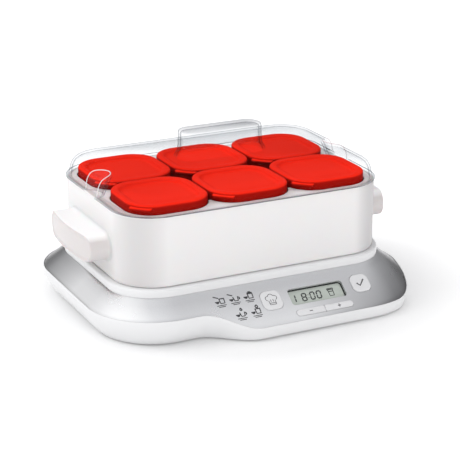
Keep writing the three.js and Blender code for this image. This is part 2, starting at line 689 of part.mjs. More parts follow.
/** The tub that holds the jars, with an opening under each for the heat. */
function tray() {
  const tub = turnedShell(roundedRectangle(TRAY, 6), [
    [TRAY_STEP, TRAY.floor],
    [TRAY_STEP, TRAY.seat],
    [0.8, TRAY.seat],
    [0, TRAY.seat + 0.8],
    [0, TRAY.rim - 0.8],
    [0.8, TRAY.rim],
    [TRAY_WALL, TRAY.rim],
    [TRAY_WALL, TRAY.seat + 2.4],
    [TRAY_STEP + 2.4, TRAY.seat + 2.4],
    [TRAY_STEP + 2.4, TRAY_FLOOR_TOP],
  ]);
  const openings = jarPlaces().map(([x, y]) => post(HEAT_OPENING_RADIUS, 30, 60, x, y, 16));
  return cut(join(tub, trayLedge()), ...openings);
}

// ---- Jars ---------------------------------------------------------------------------------

function jarPlaces() {
  return ROWS.flatMap((row) => COLUMNS.map((column) => [column * JAR_PITCH, row * JAR_PITCH]));
}

function jar() {
  const outline = roundedRectangle({ width: JAR.size, depth: JAR.size, radius: JAR.radius }, 4);
  return turnedShell(outline, [
    [6, JAR.bottom],
    [1, JAR.bottom + 2.5],
    [0, JAR.bottom + 6],
    [0, 106],
    [0.9, 108],
    [0.9, JAR.top],
    [JAR.wall - 0.4, JAR.top],
    [JAR.wall, JAR.bottom + JAR.base + 4],
    [JAR.wall + 4, JAR.bottom + JAR.base],
  ]);
}

/** A soft lid: a skirt over the jar's neck, a raised rim, a sunk middle and a pull tab. */
function jarLid() {
  const outline = roundedRectangle({ width: LID.size, depth: LID.size, radius: LID.radius }, 4);
  const sunk = LID.top - LID.recess;
  const cap = turnedShell(outline, [
    [6.6, sunk - 2],
    [6.6, JAR.top + GAP],
    [1.9, JAR.top + GAP],
    [1.9, LID.top - LID.skirt],
    [0, LID.top - LID.skirt],
    [0, LID.top - 1.8],
    [1.6, LID.top],
    [LID.rim, LID.top],
    [LID.rim + 2, sunk],
  ]);
  const tab = box(TAB.width, TAB.length, TAB.thickness, TAB.reach - TAB.width / 2, 0, LID.top - 3.6);
  return join(cap, tab.rotateZ(TAB.angle));
}

function addJars() {
  jarPlaces().forEach(([x, y], index) => {
    const place = new THREE.Group();
    place.position.set(x, y, 0);
    centred.add(place);
    addPiece(place, `jar_${index + 1}`, jar(), MATERIALS.glass);
    addPiece(place, `jar_lid_${index + 1}`, jarLid(), MATERIALS.redPlastic);
  });
}

// ---- Cover --------------------------------------------------------------------------------

/** The cover's dome: the shoulder ring shrinks to the middle as it rises to the crown. */
function domeRings(shoulder, crown, shares) {
  const start = shoulder[0].z;
  return shares.map((share) =>
    shoulder.map((p) => new THREE.Vector3(p.x * share, p.y * share, crown - (crown - start) * share * share)),
  );
}

/** The cover's outside, or its inside when it is pulled in by the wall. */
function coverBody(outline, wallSection, crown) {
  const rings = wallSection.map(([inset, z]) => ring(outline, inset, z));
  return loft([...rings, ...domeRings(rings.at(-1), crown, [0.72, 0.4])]);
}

/** A grip-shaped block with straight sides, from bottom to top. */
function gripBlock(shrink, bottom, top) {
  const halfLength = GRIP.halfLength - shrink;
  const halfWidth = GRIP.halfWidth - shrink;
  const size = { width: 2 * halfLength, depth: 2 * halfWidth, radius: halfWidth - 0.5 };
  return turnedShell(roundedRectangle(size, 5), [[0, bottom], [0, top - 1.2], [1.2, top]]);
}

/** A leaning round scoop in the side of the cover. */
function notchBlock(side, grow) {
  const scoop = new THREE.CylinderGeometry(NOTCH.radius + grow, NOTCH.radius + grow, 60, 20);
  const lean = Math.atan(NOTCH.lean / 20);
  scoop.rotateX(Math.PI / 2).rotateY(-side * lean);
  const axis = COVER.width / 2 - NOTCH.depth + NOTCH.radius;
  return scoop.translate(side * axis, 0, COVER.seat);
}

function cover() {
  const outline = roundedRectangle(COVER, 6);
  const outside = coverBody(outline, [
    [0, COVER.seat],
    [0, COVER.seat + 1.6],
    [2.8, COVER.seat + 2],
    [3.6, COVER.seat + 7],
    [5.4, COVER.seat + 12.5],
    [8.4, COVER.seat + 16.2],
    [13.5, COVER.shoulder],
  ], COVER.crown);
  const inside = coverBody(outline, [
    [2.8 + COVER_WALL, COVER.seat - 5],
    [3.4 + COVER_WALL, COVER.seat + 6],
    [5.2 + COVER_WALL, COVER.seat + 11.6],
    [8 + COVER_WALL, COVER.seat + 14.6],
    [13.5, COVER.shoulder - COVER_WALL],
  ], COVER.crown - COVER_WALL);
  const flareSize = { width: 90, depth: 30, radius: 14 };
  const flare = turnedShell(roundedRectangle(flareSize, 5), [[0, 134], [0, 138.4], [2.6, 140]]);
  const shell = cut(join(outside, gripBlock(0, 134, GRIP.top), flare), notchBlock(-1, 0), notchBlock(1, 0));
  const hollow = join(inside, gripBlock(GRIP.wall, 130, GRIP.top - GRIP.wall));
  return cut(shell, cut(hollow, notchBlock(-1, COVER_WALL), notchBlock(1, COVER_WALL)));
}

// ---- Assembly -----------------------------------------------------------------------------

addPiece(yogurtMaker, 'upper_housing', casing(), MATERIALS.whitePlastic);
addPiece(yogurtMaker, 'deco_panel', decoPanel(), MATERIALS.silverPanel);
addPiece(yogurtMaker, 'bottom_cover', bottomCover(), MATERIALS.whitePlastic);
FOOT_PLACES.forEach(([x, y], index) => {
  addPiece(yogurtMaker, `foot_${index + 1}`, foot(), MATERIALS.rubber).position.set(x, y, 0);
});
SCREW_PLACES.forEach(([x, y], index) => {
  addPiece(yogurtMaker, `bottom_screw_${index + 1}`, screw(), MATERIALS.steel).position.set(x, y, 0);
});
addPiece(yogurtMaker, 'cord_inlet', cordInlet(), MATERIALS.blackPlastic);
addHeater();
addPowerBoard();
addLeads();
addControlBoard();
addButtons();
addPiece(centred, 'jar_tray', tray(), MATERIALS.trayPlastic);
addPiece(centred, 'tray_handle_left', handle(-1), MATERIALS.trayPlastic);
addPiece(centred, 'tray_handle_right', handle(1), MATERIALS.trayPlastic);
addJars();
addPiece(centred, 'cover', cover(), MATERIALS.clearPlastic);

export default yogurtMaker;
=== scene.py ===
"""Looks of the yogurt maker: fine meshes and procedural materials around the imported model."""

import math

import bmesh
import bpy
from mathutils import Matrix, Vector


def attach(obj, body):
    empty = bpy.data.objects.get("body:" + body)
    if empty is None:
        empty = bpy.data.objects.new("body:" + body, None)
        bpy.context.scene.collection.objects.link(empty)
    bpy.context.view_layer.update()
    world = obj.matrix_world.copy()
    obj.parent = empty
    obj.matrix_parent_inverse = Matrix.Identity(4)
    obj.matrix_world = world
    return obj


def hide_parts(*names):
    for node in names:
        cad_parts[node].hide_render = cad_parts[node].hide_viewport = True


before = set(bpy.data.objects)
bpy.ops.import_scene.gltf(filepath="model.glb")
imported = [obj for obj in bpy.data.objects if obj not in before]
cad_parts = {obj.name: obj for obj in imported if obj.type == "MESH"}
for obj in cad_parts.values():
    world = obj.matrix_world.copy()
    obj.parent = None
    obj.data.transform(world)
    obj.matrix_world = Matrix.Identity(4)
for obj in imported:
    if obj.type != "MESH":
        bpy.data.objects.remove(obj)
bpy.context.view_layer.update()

# ---- Driving dimensions, in millimetres ----------------------------------------------------

MM = 0.001
GAP = 0.3
JAR_PITCH = 80

COLLAR = {"width": 270, "depth": 187, "radius": 43.5}
COLLAR_TOP = 48.5
COLLAR_FOOT = 41.5
BAND_WIDTH = 19.7
BULGE_WIDTH = 38
SWEEP_START = -72
SWEEP_END = -22
TURN_START = math.radians(20)
TURN_END = math.radians(75)
SLOPE = math.atan(0.757)
WALL = 2.2
LIP = 1.1
TUCK = 0.0192
BASE_BOTTOM = 1.5
FLOOR_TOP = 3.9
PANEL_THICKNESS = 1.2
CENTRE_Y = (BULGE_WIDTH - BAND_WIDTH) / 2
COLLAR_FRONT = CENTRE_Y - COLLAR["depth"] / 2
PLUMB = 1 / math.cos(SLOPE)

WELL_INSET = 8.5
LEDGE_INSET = 17
LEDGE_TOP = 41
LEDGE_THICKNESS = 2.2
HEATER_TOP = 43

BED_DEPTH = PANEL_THICKNESS + GAP
BED_BOTTOM = BED_DEPTH + WALL
FLANGE_TOP = BED_BOTTOM + GAP
FLANGE_BOTTOM = FLANGE_TOP + 1
BUTTON_PROUD = 1

TRAY = {"width": 261, "depth": 178, "radius": 39}
TRAY_FLOOR = 43.6
TRAY_SEAT = 48.8
TRAY_RIM = 113.1
TRAY_OPENING = 23
LID_HOLE = {"width": 80, "depth": 80, "radius": 26.7}
TRAY_MOUTH = {"width": 202, "depth": 122, "radius": 3}
HANDLE_HALF_LENGTH = 49
HANDLE_HEIGHT = 25
HANDLE_MIDDLE = 77
HANDLE_REACH = 155
HANDLE_BULGE = 5

JAR = {"width": 74, "depth": 74, "radius": 24}
LID = {"width": 78, "depth": 78, "radius": 25.7}
LID_TOP = 121.5
LID_SUNK = LID_TOP - 3
LID_FOOT = 109.6
# The pull tab is broader than in the CAD model and stands further out.
TAB = {"width": 7.4, "depth": 21, "radius": 2.6}
TAB_MIDDLE = 43.4
TAB_BOTTOM = 116.8
TAB_TOP = 119.3
TAB_ANGLE = math.radians(-135)

COVER = {"width": 263, "depth": 180, "radius": 40}
COVER_SEAT = 113.4
COVER_CROWN = 137.6
COVER_WALL = 2
NOTCH_RADIUS = 14
NOTCH_LEAN = 9 / 20
NOTCH_AXIS = COVER["width"] / 2 - 11 + NOTCH_RADIUS
GRIP_HALF_LENGTH = 41.3
GRIP_HALF_WIDTH = 13.8
GRIP_FLARE_TOP = 141
GRIP_TOP = 161

# Controls on the panel: x across, down = distance down the slope from the collar.
WINDOW = {"x": 43, "down": 22.9, "width": 56, "depth": 17, "radius": 3}
PROGRAM_BUTTON = {"x": -3.3, "down": 22.1, "width": 19.7, "depth": 19.7, "radius": 6}
CONFIRM_BUTTON = {"x": 88.5, "down": 21.3, "width": 18.5, "depth": 18.5, "radius": 6}
KEY_BAR = {"x": 43.75, "down": 40.1, "width": 57.5, "depth": 6.3, "radius": 3}

BUTTON_STEM_RADIUS = 2.5
MARK_HEIGHT = 0.05

FOOT_PLACES = [(-104, -62), (104, -78), (-104, 84), (104, 84)]
FOOT_SEAT_RADIUS = 8.5
FOOT_SEAT_DEPTH = 1.2
FOOT_PEG_HOLE = 3.3
SCREW_PLACES = [(side * 122.3, CENTRE_Y + end * 44) for side in (-1, 1) for end in (-1, 1)]
SCREW_HOLE = 1.9
SCREW_HEAD_HOLE = 3.6
SCREW_HEAD_DEPTH = 1.7
VENTS = {"count": 6, "pitch": 8, "x": 30, "y": 50, "width": 3, "length": 44}
INLET_X = 62
INLET_Z = 14
INLET_FACE = 115
INLET_RADIUS = 5
INLET_FLANGE_RADIUS = 7

# Places for upright shapes: standing on the sloped panel, and lying along Y in the cord inlet.
PANEL = Matrix.Translation((0, COLLAR_FRONT, COLLAR_FOOT)) @ Matrix.Rotation(SLOPE, 4, "X")
INLET = Matrix.Translation((INLET_X, 0, INLET_Z)) @ Matrix.Rotation(math.radians(-90), 4, "X")

# ---- Mesh helpers --------------------------------------------------------------------------


def smooth_step(value):
    """0 up to 1 with a soft start and end."""
    value = min(max(value, 0), 1)
    return value * value * (3 - 2 * value)


def steps(start, end, count):
    """Evenly spaced numbers from start to end, both included."""
    return [start + (end - start) * i / count for i in range(count + 1)]


def arc(centre_x, centre_y, radius, start_degrees, end_degrees, count):
    """Points on an arc."""
    angles = steps(math.radians(start_degrees), math.radians(end_degrees), count)
    return [(centre_x + radius * math.cos(a), centre_y + radius * math.sin(a)) for a in angles]


def rounded_outline(width, depth, radius, arc_steps, side_steps=1, left_radius=None):
    """A rounded rectangle, anticlockwise, as (x, y, outward x, outward y)."""
    left_radius = radius if left_radius is None else left_radius
    corners = []
    for turn, (side_x, side_y) in enumerate(((1, 1), (-1, 1), (-1, -1), (1, -1))):
        r = radius if side_x > 0 else left_radius
        middle_x, middle_y = side_x * (width / 2 - r), side_y * (depth / 2 - r)
        angles = [(turn + step / arc_steps) * math.pi / 2 for step in range(arc_steps + 1)]
        normals = [(math.cos(angle), math.sin(angle)) for angle in angles]
        corners.append([(middle_x + r * nx, middle_y + r * ny, nx, ny) for nx, ny in normals])
    outline = []
    for corner, following in zip(corners, corners[1:] + corners[:1]):
        x, y, nx, ny = corner[-1]
        step_x, step_y = following[0][0] - x, following[0][1] - y
        outline += corner
        outline += [(x + step_x * t, y + step_y * t, nx, ny) for t in steps(0, 1, side_steps)[1:-1]]
    return outline


def ring(outline, inset, z):
    """An outline pulled in by inset and lifted to a height."""
    return [Vector((x - nx * inset, y - ny * inset, z)) for x, y, nx, ny in outline]


def loft(rings, closed=False):
    """Faces stretched from ring to ring, with flat ends unless the section is closed."""
    count = len(rings[0])
    points = [point for one in rings for point in one]
    faces = []
    for span in range(len(rings) if closed else len(rings) - 1):
        near = span * count
        far = (span + 1) % len(rings) * count
        for i in range(count):
            after = (i + 1) % count
            faces.append((near + i, near + after, far + after, far + i))
    if not closed:
        faces.append(tuple(reversed(range(count))))
        faces.append(tuple(range((len(rings) - 1) * count, len(rings) * count)))
    return points, faces


def shell(outline, section):
    """A solid with one outline and a section of (inset, height) pairs."""
    return loft([ring(outline, inset, z) for inset, z in section])


def domed(outline, section, crown, shares):
    """A solid whose last ring goes on in smaller and smaller ones up to its crown."""
    rings = [ring(outline, inset, z) for inset, z in section]
    last = rings[-1]
    drop = crown - last[0].z
    for share in shares:
        height = crown - drop * share * share
        rings.append([Vector((p.x * share, p.y * share, height)) for p in last])
    return loft(rings)


def turned(profile, segments=40, closed=False):
    """A body of revolution about Z from (radius, height) pairs."""
    angles = steps(0, 2 * math.pi, segments)[:-1]
    rings = []
    for radius, z in profile:
        rings.append([Vector((radius * math.cos(a), radius * math.sin(a), z)) for a in angles])
    return loft(rings, closed)


def pin(radius, bottom, top, segments=40):
    """An upright cylinder."""
    return turned([(radius, bottom), (radius, top)], segments)


def moved(shape, matrix):
    """A shape with its points moved by a matrix."""
    points, faces = shape
    return [matrix @ point for point in points], faces


def shifted(shape, x, y):
    """A shape moved level to a place."""
    return moved(shape, Matrix.Translation((x, y, 0)))


def on_panel(shape, x, down):
    """A shape made in a control's own coordinates, placed on the panel."""
    return moved(shape, PANEL @ Matrix.Translation((x, -down, 0)))


def block(width, depth, height, x, y, bottom, radius):
    """A block with softened upright edges."""
    outline = rounded_outline(width, depth, radius, 3)
    return shifted(shell(outline, [(0, bottom), (0, bottom + height)]), x, y)


def new_object(name, data):
    """A new object in the scene, holding a mesh, a camera or a light."""
    made = bpy.data.objects.new(name, data)
    bpy.context.collection.objects.link(made)
    return made


def mesh_object(name, shape):
    """A Blender object in metres from a shape in millimetres."""
    points, faces = shape
    mesh = bpy.data.meshes.new(name)
    mesh.from_pydata([tuple(point * MM) for point in points], [], faces)
    work = bmesh.new()
    work.from_mesh(mesh)
    bmesh.ops.remove_doubles(work, verts=work.verts, dist=1e-7)
    bmesh.ops.recalc_face_normals(work, faces=work.faces)
    work.to_mesh(mesh)
    work.free()
    return new_object(name, mesh)


def tube_mesh(name, paths, radius):
    """A mesh of round tubes along paths of (x, y, z) points."""
    curve = bpy.data.curves.new(name, "CURVE")
    curve.dimensions = "3D"
    curve.bevel_depth = radius
    curve.bevel_resolution = 2
    curve.use_fill_caps = True
    for path in paths:
        spline = curve.splines.new("POLY")
        spline.points.add(len(path) - 1)
        for point, place in zip(spline.points, path):
            point.co = (*place, 1)
    holder = bpy.data.objects.new(name + "_paths", curve)
    mesh = bpy.data.meshes.new_from_object(holder)
    bpy.data.objects.remove(holder)
    bpy.data.curves.remove(curve)
    return mesh


def apply_modifiers(piece):
    """Bakes a piece's modifiers into its mesh."""
    graph = bpy.context.evaluated_depsgraph_get()
    mesh = bpy.data.meshes.new_from_object(piece.evaluated_get(graph))
    old = piece.data
    piece.modifiers.clear()
    piece.data = mesh
    bpy.data.meshes.remove(old)


def combine(piece, operation, *shapes):
    """Joins shapes to a piece or cuts them out of it."""
    for index, shape in enumerate(shapes):
        other = mesh_object(f"{piece.name}_tool_{index}", shape)
        modifier = piece.modifiers.new("combine", "BOOLEAN")
        modifier.operation = operation
        modifier.solver = "EXACT"
        modifier.object = other
        apply_modifiers(piece)
        bpy.data.objects.remove(other, do_unlink=True)


def taken_shape(piece):
    """A helper piece's mesh as a shape again, once its object is done with."""
    points = [vertex.co / MM for vertex in piece.data.vertices]
    faces = [tuple(face.vertices) for face in piece.data.polygons]
    bpy.data.objects.remove(piece)
    return points, faces


def shade(piece, sharp_degrees):
    """Smooth shading, with creases kept sharp and broad many-sided ends kept flat."""
    piece.data.shade_smooth()
    for face in piece.data.polygons:
        if len(face.vertices) > 11:
            face.use_smooth = False
    piece.data.set_sharp_from_angle(angle=math.radians(sharp_degrees))


def soften(piece, width):
    """Rounds the hard edges of a piece."""
    modifier = piece.modifiers.new("soften", "BEVEL")
    modifier.width = width * MM
    modifier.segments = 2
    modifier.limit_method = "ANGLE"
    modifier.angle_limit = math.radians(50)


def settle(piece, body, material, slot, *nodes, sharp=38):
    """Shades a piece, gives it its material, ties it to its body and hides the CAD nodes it stands in for.
    """
    shade(piece, sharp)
    piece.data.materials.clear()
    piece.data.materials.append(material)
    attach(piece, body)
    if nodes:
        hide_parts(*nodes)


# ---- Material helpers ----------------------------------------------------------------------


class Nodes:
    """Short calls that add nodes to a tree."""

    def __init__(self, tree):
        self.tree = tree

    def feed(self, socket, value):
        if isinstance(value, bpy.types.NodeSocket):
            self.tree.links.new(value, socket)
        else:
            socket.default_value = value

    def node(self, kind, **inputs):
        made = self.tree.nodes.new(kind)
        for socket, value in inputs.items():
            self.feed(made.inputs[socket.replace("_", " ")], value)
        return made

    def operation(self, kind, operation, first, second=None):
        """A node that works on one value or on two."""
        made = self.node(kind)
        made.operation = operation
        self.feed(made.inputs[0], first)
        if second is not None:
            self.feed(made.inputs[1], second)
        return made.outputs["Value"]

    def math(self, operation, first, second=None):
        return self.operation("ShaderNodeMath", operation, first, second)

    def vector_math(self, operation, first, second=None):
        return self.operation("ShaderNodeVectorMath", operation, first, second)

    def spread(self, value, low, high, start=0.3, end=0.7):
        """Stretches a value's range from start and end to low and high."""
        made = self.node("ShaderNodeMapRange", Value=value)
        for socket, number in (("From Min", start), ("From Max", end), ("To Min", low), ("To Max", high)):
            made.inputs[socket].default_value = number
        return made.outputs["Result"]


class Recipe(Nodes):
    """A Principled material and the nodes that vary it."""

    def __init__(self, name, **settings):
        self.material = bpy.data.materials.new(name)
        self.material.use_nodes = True
        super().__init__(self.material.node_tree)
        self.shader = self.tree.nodes["Principled BSDF"]
        for socket, value in settings.items():
            self.shader.inputs[socket.replace("_", " ")].default_value = value
        places = self.node("ShaderNodeTexCoord")
        self.coordinates = places.outputs["Object"]
        self.normal = places.outputs["Normal"]

    def axis(self, letter, vector):
        return self.node("ShaderNodeSeparateXYZ", Vector=vector).outputs[letter]

    def noise(self, scale, detail=2.0, stretch=(1, 1, 1)):
        vector = self.coordinates
        if stretch != (1, 1, 1):
            vector = self.node("ShaderNodeMapping", Vector=vector, Scale=stretch).outputs["Vector"]
        return self.node("ShaderNodeTexNoise", Vector=vector, Scale=scale, Detail=detail).outputs["Fac"]

    def blend(self, share, first, second):
        made = self.node("ShaderNodeMix")
        made.data_type = "RGBA"
        self.feed(made.inputs[0], share)
        self.feed(made.inputs[6], first)
        self.feed(made.inputs[7], second)
        return made.outputs[2]

    def mix_shaders(self, share, first, second):
        made = self.node("ShaderNodeMixShader", Fac=share)
        self.feed(made.inputs[1], first.outputs[0])
        self.feed(made.inputs[2], second.outputs[0])
        return made

    def colour(self, share, first, second):
        self.feed(self.shader.inputs["Base Color"], self.blend(share, first, second))

    def tone(self, value, start, end, colour):
        """Turns the colour into another one as a value goes from start to end."""
        if start < end:
            share = self.spread(value, 0, 1, start, end)
        else:
            share = self.spread(value, 1, 0, end, start)
        self.colour(share, self.shader.inputs["Base Color"].links[0].from_socket, colour)

    def roughness(self, value, low, high):
        self.feed(self.shader.inputs["Roughness"], self.spread(value, low, high))

    def bump(self, height, depth_mm, strength):
        made = self.node("ShaderNodeBump", Height=height, Distance=depth_mm * MM, Strength=strength)
        self.feed(self.shader.inputs["Normal"], made.outputs["Normal"])


def rgb(red, green, blue):
    return (red, green, blue, 1.0)


def moulded_plastic(name, light, dark, roughness, grain_mm, **settings):
    """Moulded plastic: faint cloudy colour, uneven polish and a fine skin."""
    recipe = Recipe(name, **settings)
    recipe.colour(recipe.spread(recipe.noise(9), 0, 1), light, dark)
    recipe.roughness(recipe.noise(25), *roughness)
    recipe.bump(recipe.noise(2600), grain_mm, 0.25)
    return recipe


def tray_plastic():
    """Warm white plastic, pinker at the handles, with painted shade greying it round its corners and on its
    right end, and a painted highlight lightening its upward faces.
    """
    recipe = moulded_plastic(
        "tray_plastic", rgb(0.80, 0.783, 0.78), rgb(0.79, 0.773, 0.77), (0.36, 0.40), 0.008,
        Subsurface_Weight=0.12, Subsurface_Scale=0.004,
    )
    across, along = recipe.axis("X", recipe.normal), recipe.axis("Y", recipe.normal)
    # Painted shade: the rounded corners, half turned to the front and half to the side, are greyed.
    corner = recipe.math("ABSOLUTE", recipe.math("MULTIPLY", across, along))
    recipe.tone(corner, 0.05, 0.50, rgb(0.62, 0.605, 0.605))
    # Painted shade: faces turned to the right are greyed.
    recipe.tone(across, 0.15, 0.85, rgb(0.52, 0.51, 0.515))
    distance = recipe.math("ABSOLUTE", recipe.axis("X", recipe.coordinates))
    recipe.tone(distance, 0.1305, 0.134, rgb(0.65, 0.615, 0.61))
    # Painted highlight: faces turned upwards are lightened.
    recipe.tone(recipe.axis("Z", recipe.normal), 0.60, 0.95, rgb(0.95, 0.94, 0.94))
    return recipe.material


def silver_lacquer():
    """Satin silver lacquer: fine metal flakes under a thin clear skin, with painted reflections in its
    colour: lighter low on the band and at the left end, darker up by the collar, towards the back and at the
    right end.
    """
    recipe = Recipe("silver_lacquer", Metallic=0.92, Coat_Weight=0.18, Coat_Roughness=0.25)
    flakes = recipe.node("ShaderNodeTexVoronoi", Vector=recipe.coordinates, Scale=3800.0)
    flake = recipe.spread(flakes.outputs["Distance"], 0, 1, 0.1, 0.7)
    # Painted reflection: the band is lighter low down than up by the collar.
    fall = recipe.spread(recipe.axis("Z", recipe.coordinates), 1, 0, 0.013, 0.036)
    high = recipe.blend(flake, rgb(0.70, 0.705, 0.72), rgb(0.62, 0.625, 0.64))
    low = recipe.blend(flake, rgb(0.97, 0.975, 0.985), rgb(0.90, 0.905, 0.92))
    across = recipe.axis("X", recipe.coordinates)
    # Painted reflection: darker towards the right, lightest at the left end, darkest at the far right end
    # and towards the back.
    low = recipe.blend(recipe.spread(across, 0, 1, 0.02, 0.12), low, rgb(0.29, 0.29, 0.30))
    recipe.colour(fall, high, low)
    recipe.tone(across, -0.115, -0.145, rgb(0.99, 0.992, 0.995))
    recipe.tone(across, 0.130, 0.152, rgb(0.17, 0.165, 0.17))
    recipe.tone(recipe.axis("Y", recipe.coordinates), 0.000, 0.085, rgb(0.19, 0.193, 0.20))
    recipe.roughness(recipe.noise(25), 0.27, 0.29)
    recipe.bump(flakes.outputs["Distance"], 0.008, 0.06)
    return recipe.material


def red_lid_plastic():
    """Soft red plastic, with painted shade making the upright skirts deeper than the flat tops."""
    recipe = moulded_plastic(
        "red_lid_plastic", rgb(0.96, 0.024, 0.009), rgb(0.93, 0.021, 0.008), (0.50, 0.56), 0.012,
        IOR=1.06,
    )
    # Painted shade: faces turned away from upright darken to a deep red.
    recipe.tone(recipe.axis("Z", recipe.normal), 0.75, 0.05, rgb(0.34, 0.005, 0.002))
    return recipe.material


def printed_ink(name, dark, light):
    """Screen-printed ink with slightly uneven cover."""
    recipe = Recipe(name)
    recipe.colour(recipe.noise(900, 3), dark, light)
    recipe.roughness(recipe.noise(500), 0.45, 0.65)
    return recipe.material


def display_glass():
    """Grey-green reflective display with a faint grain."""
    recipe = Recipe("display_glass")
    recipe.colour(recipe.noise(1400), rgb(0.54, 0.575, 0.535), rgb(0.59, 0.625, 0.585))
    recipe.roughness(recipe.noise(120), 0.30, 0.40)
    return recipe.material


def metal(name, light, dark, roughness, stretch):
    """Bare metal with fine drawn or rolled lines."""
    recipe = Recipe(name, Metallic=1.0)
    lines = recipe.noise(900, 4, stretch)
    recipe.colour(lines, light, dark)
    recipe.roughness(lines, *roughness)
    recipe.bump(lines, 0.01, 0.3)
    return recipe.material


def fibre_felt():
    """Pale felt with long matted strands."""
    recipe = Recipe("fibre_felt")
    strands = recipe.noise(1500, 8, (1, 1, 0.4))
    recipe.colour(strands, rgb(0.78, 0.74, 0.62), rgb(0.62, 0.58, 0.48))
    recipe.roughness(strands, 0.85, 1.0)
    recipe.bump(strands, 0.3, 0.8)
    return recipe.material


def circuit_board():
    """Green solder mask over copper tracks, as straight lanes broken up by a brick pattern."""
    recipe = Recipe("circuit_board", Coat_Weight=0.3, Coat_Roughness=0.2)
    tracks = recipe.node(
        "ShaderNodeTexBrick", Vector=recipe.coordinates, Scale=160.0, Mortar_Size=0.03,
        Color1=rgb(0.018, 0.13, 0.045), Color2=rgb(0.022, 0.16, 0.055), Mortar=rgb(0.07, 0.30, 0.12),
    )
    recipe.feed(recipe.shader.inputs["Base Color"], tracks.outputs["Color"])
    recipe.roughness(recipe.noise(200), 0.35, 0.5)
    recipe.bump(tracks.outputs["Fac"], 0.035, 0.5)
    return recipe.material


def heater_mica():
    """Mica-wrapped resistance band: bronze flecks."""
    recipe = Recipe("heater_mica", Metallic=0.35)
    flecks = recipe.noise(700, 6)
    recipe.colour(flecks, rgb(0.30, 0.17, 0.08), rgb(0.46, 0.32, 0.18))
    recipe.roughness(flecks, 0.35, 0.65)
    return recipe.material


def jar_glass():
    """Pressed clear glass with a faint green depth and slight waves."""
    recipe = Recipe("jar_glass", Transmission_Weight=1.0, IOR=1.5)
    recipe.colour(recipe.noise(20), rgb(0.94, 0.985, 0.965), rgb(0.90, 0.97, 0.945))
    recipe.roughness(recipe.noise(50), 0.02, 0.06)
    recipe.bump(recipe.noise(45), 0.4, 0.25)
    return recipe.material


def thin_clear(name, face_tint, edge_tint, edge_power, shine, haze=0.0):
    """Thin clear plastic: seen straight through, and grey where the eye grazes its surface."""
    recipe = Recipe(name)
    facing = recipe.node("ShaderNodeLayerWeight", Blend=0.5).outputs["Facing"]
    tint = recipe.blend(recipe.math("POWER", facing, edge_power), face_tint, edge_tint)
    through = recipe.node("ShaderNodeBsdfTransparent", Color=tint)
    gloss = recipe.node("ShaderNodeBsdfAnisotropic", Color=rgb(1, 1, 1))
    recipe.feed(gloss.inputs["Roughness"], recipe.spread(recipe.noise(30), 0.03, 0.06))
    mirror = recipe.spread(recipe.math("POWER", facing, 12.0), 0.003, shine, 0, 1)
    clear = recipe.mix_shaders(mirror, through, gloss)
    milk = recipe.node("ShaderNodeBsdfDiffuse", Color=rgb(0.95, 0.96, 0.97))
    mixed = recipe.mix_shaders(haze, clear, milk)
    recipe.feed(recipe.tree.nodes["Material Output"].inputs["Surface"], mixed.outputs["Shader"])
    recipe.tree.nodes.remove(recipe.shader)
    return recipe.material


# ---- Materials -----------------------------------------------------------------------------

WHITE = moulded_plastic(
    "white_casing", rgb(0.80, 0.802, 0.808), rgb(0.79, 0.792, 0.798), (0.30, 0.33), 0.006,
    Coat_Weight=0.12, Coat_Roughness=0.15,
).material
SILVER = silver_lacquer()
TRAY_WHITE = tray_plastic()
RED = red_lid_plastic()
BUTTON = moulded_plastic(
    "button_plastic", rgb(0.75, 0.75, 0.76), rgb(0.72, 0.72, 0.73), (0.30, 0.38), 0.008,
).material
BLACK = moulded_plastic(
    "black_plastic", rgb(0.022, 0.022, 0.024), rgb(0.035, 0.035, 0.038), (0.40, 0.55), 0.03,
).material
RUBBER = moulded_plastic(
    "foot_rubber", rgb(0.035, 0.035, 0.038), rgb(0.06, 0.06, 0.063), (0.75, 0.92), 0.06,
).material
LEAD = moulded_plastic(
    "lead_cover", rgb(0.30, 0.10, 0.04), rgb(0.22, 0.07, 0.03), (0.45, 0.6), 0.02,
).material
INK = printed_ink("printed_ink", rgb(0.012, 0.012, 0.014), rgb(0.05, 0.05, 0.055))
GREY_INK = printed_ink("grey_ink", rgb(0.08, 0.08, 0.085), rgb(0.12, 0.12, 0.125))
DISPLAY = display_glass()
STEEL = metal("steel", rgb(0.56, 0.57, 0.58), rgb(0.42, 0.43, 0.44), (0.28, 0.42), (1, 1, 8))
ALUMINIUM = metal("aluminium", rgb(0.80, 0.81, 0.82), rgb(0.66, 0.67, 0.69), (0.25, 0.4), (0.05, 1, 1))
FIBRE = fibre_felt()
BOARD = circuit_board()
MICA = heater_mica()
GLASS = jar_glass()
CLEAR = thin_clear("clear_cover_plastic", rgb(0.99, 0.992, 0.994), rgb(0.22, 0.25, 0.28), 7.0, 0.12)
CLEAR_GRIP = thin_clear("clear_grip", rgb(0.985, 0.988, 0.99), rgb(0.06, 0.07, 0.10), 4.0, 0.22)
CLEAR_RIM = thin_clear("clear_rim", rgb(0.985, 0.988, 0.99), rgb(0.16, 0.19, 0.22), 3.5, 0.15)
CLEAR_NOTCH = thin_clear("clear_notch", rgb(0.98, 0.984, 0.988), rgb(0.40, 0.42, 0.45), 4.0, 0.30, 0.01)
# Milky white bead: a painted highlight along the edges of the notches.
CLEAR_BEAD = thin_clear("clear_bead", rgb(0.95, 0.96, 0.97), rgb(0.55, 0.58, 0.62), 3.0, 0.40, 0.65)
LENS = thin_clear("lens_plastic", rgb(0.98, 0.985, 0.98), rgb(0.70, 0.73, 0.71), 6.0, 0.30)

# ---- Base casing ---------------------------------------------------------------------------


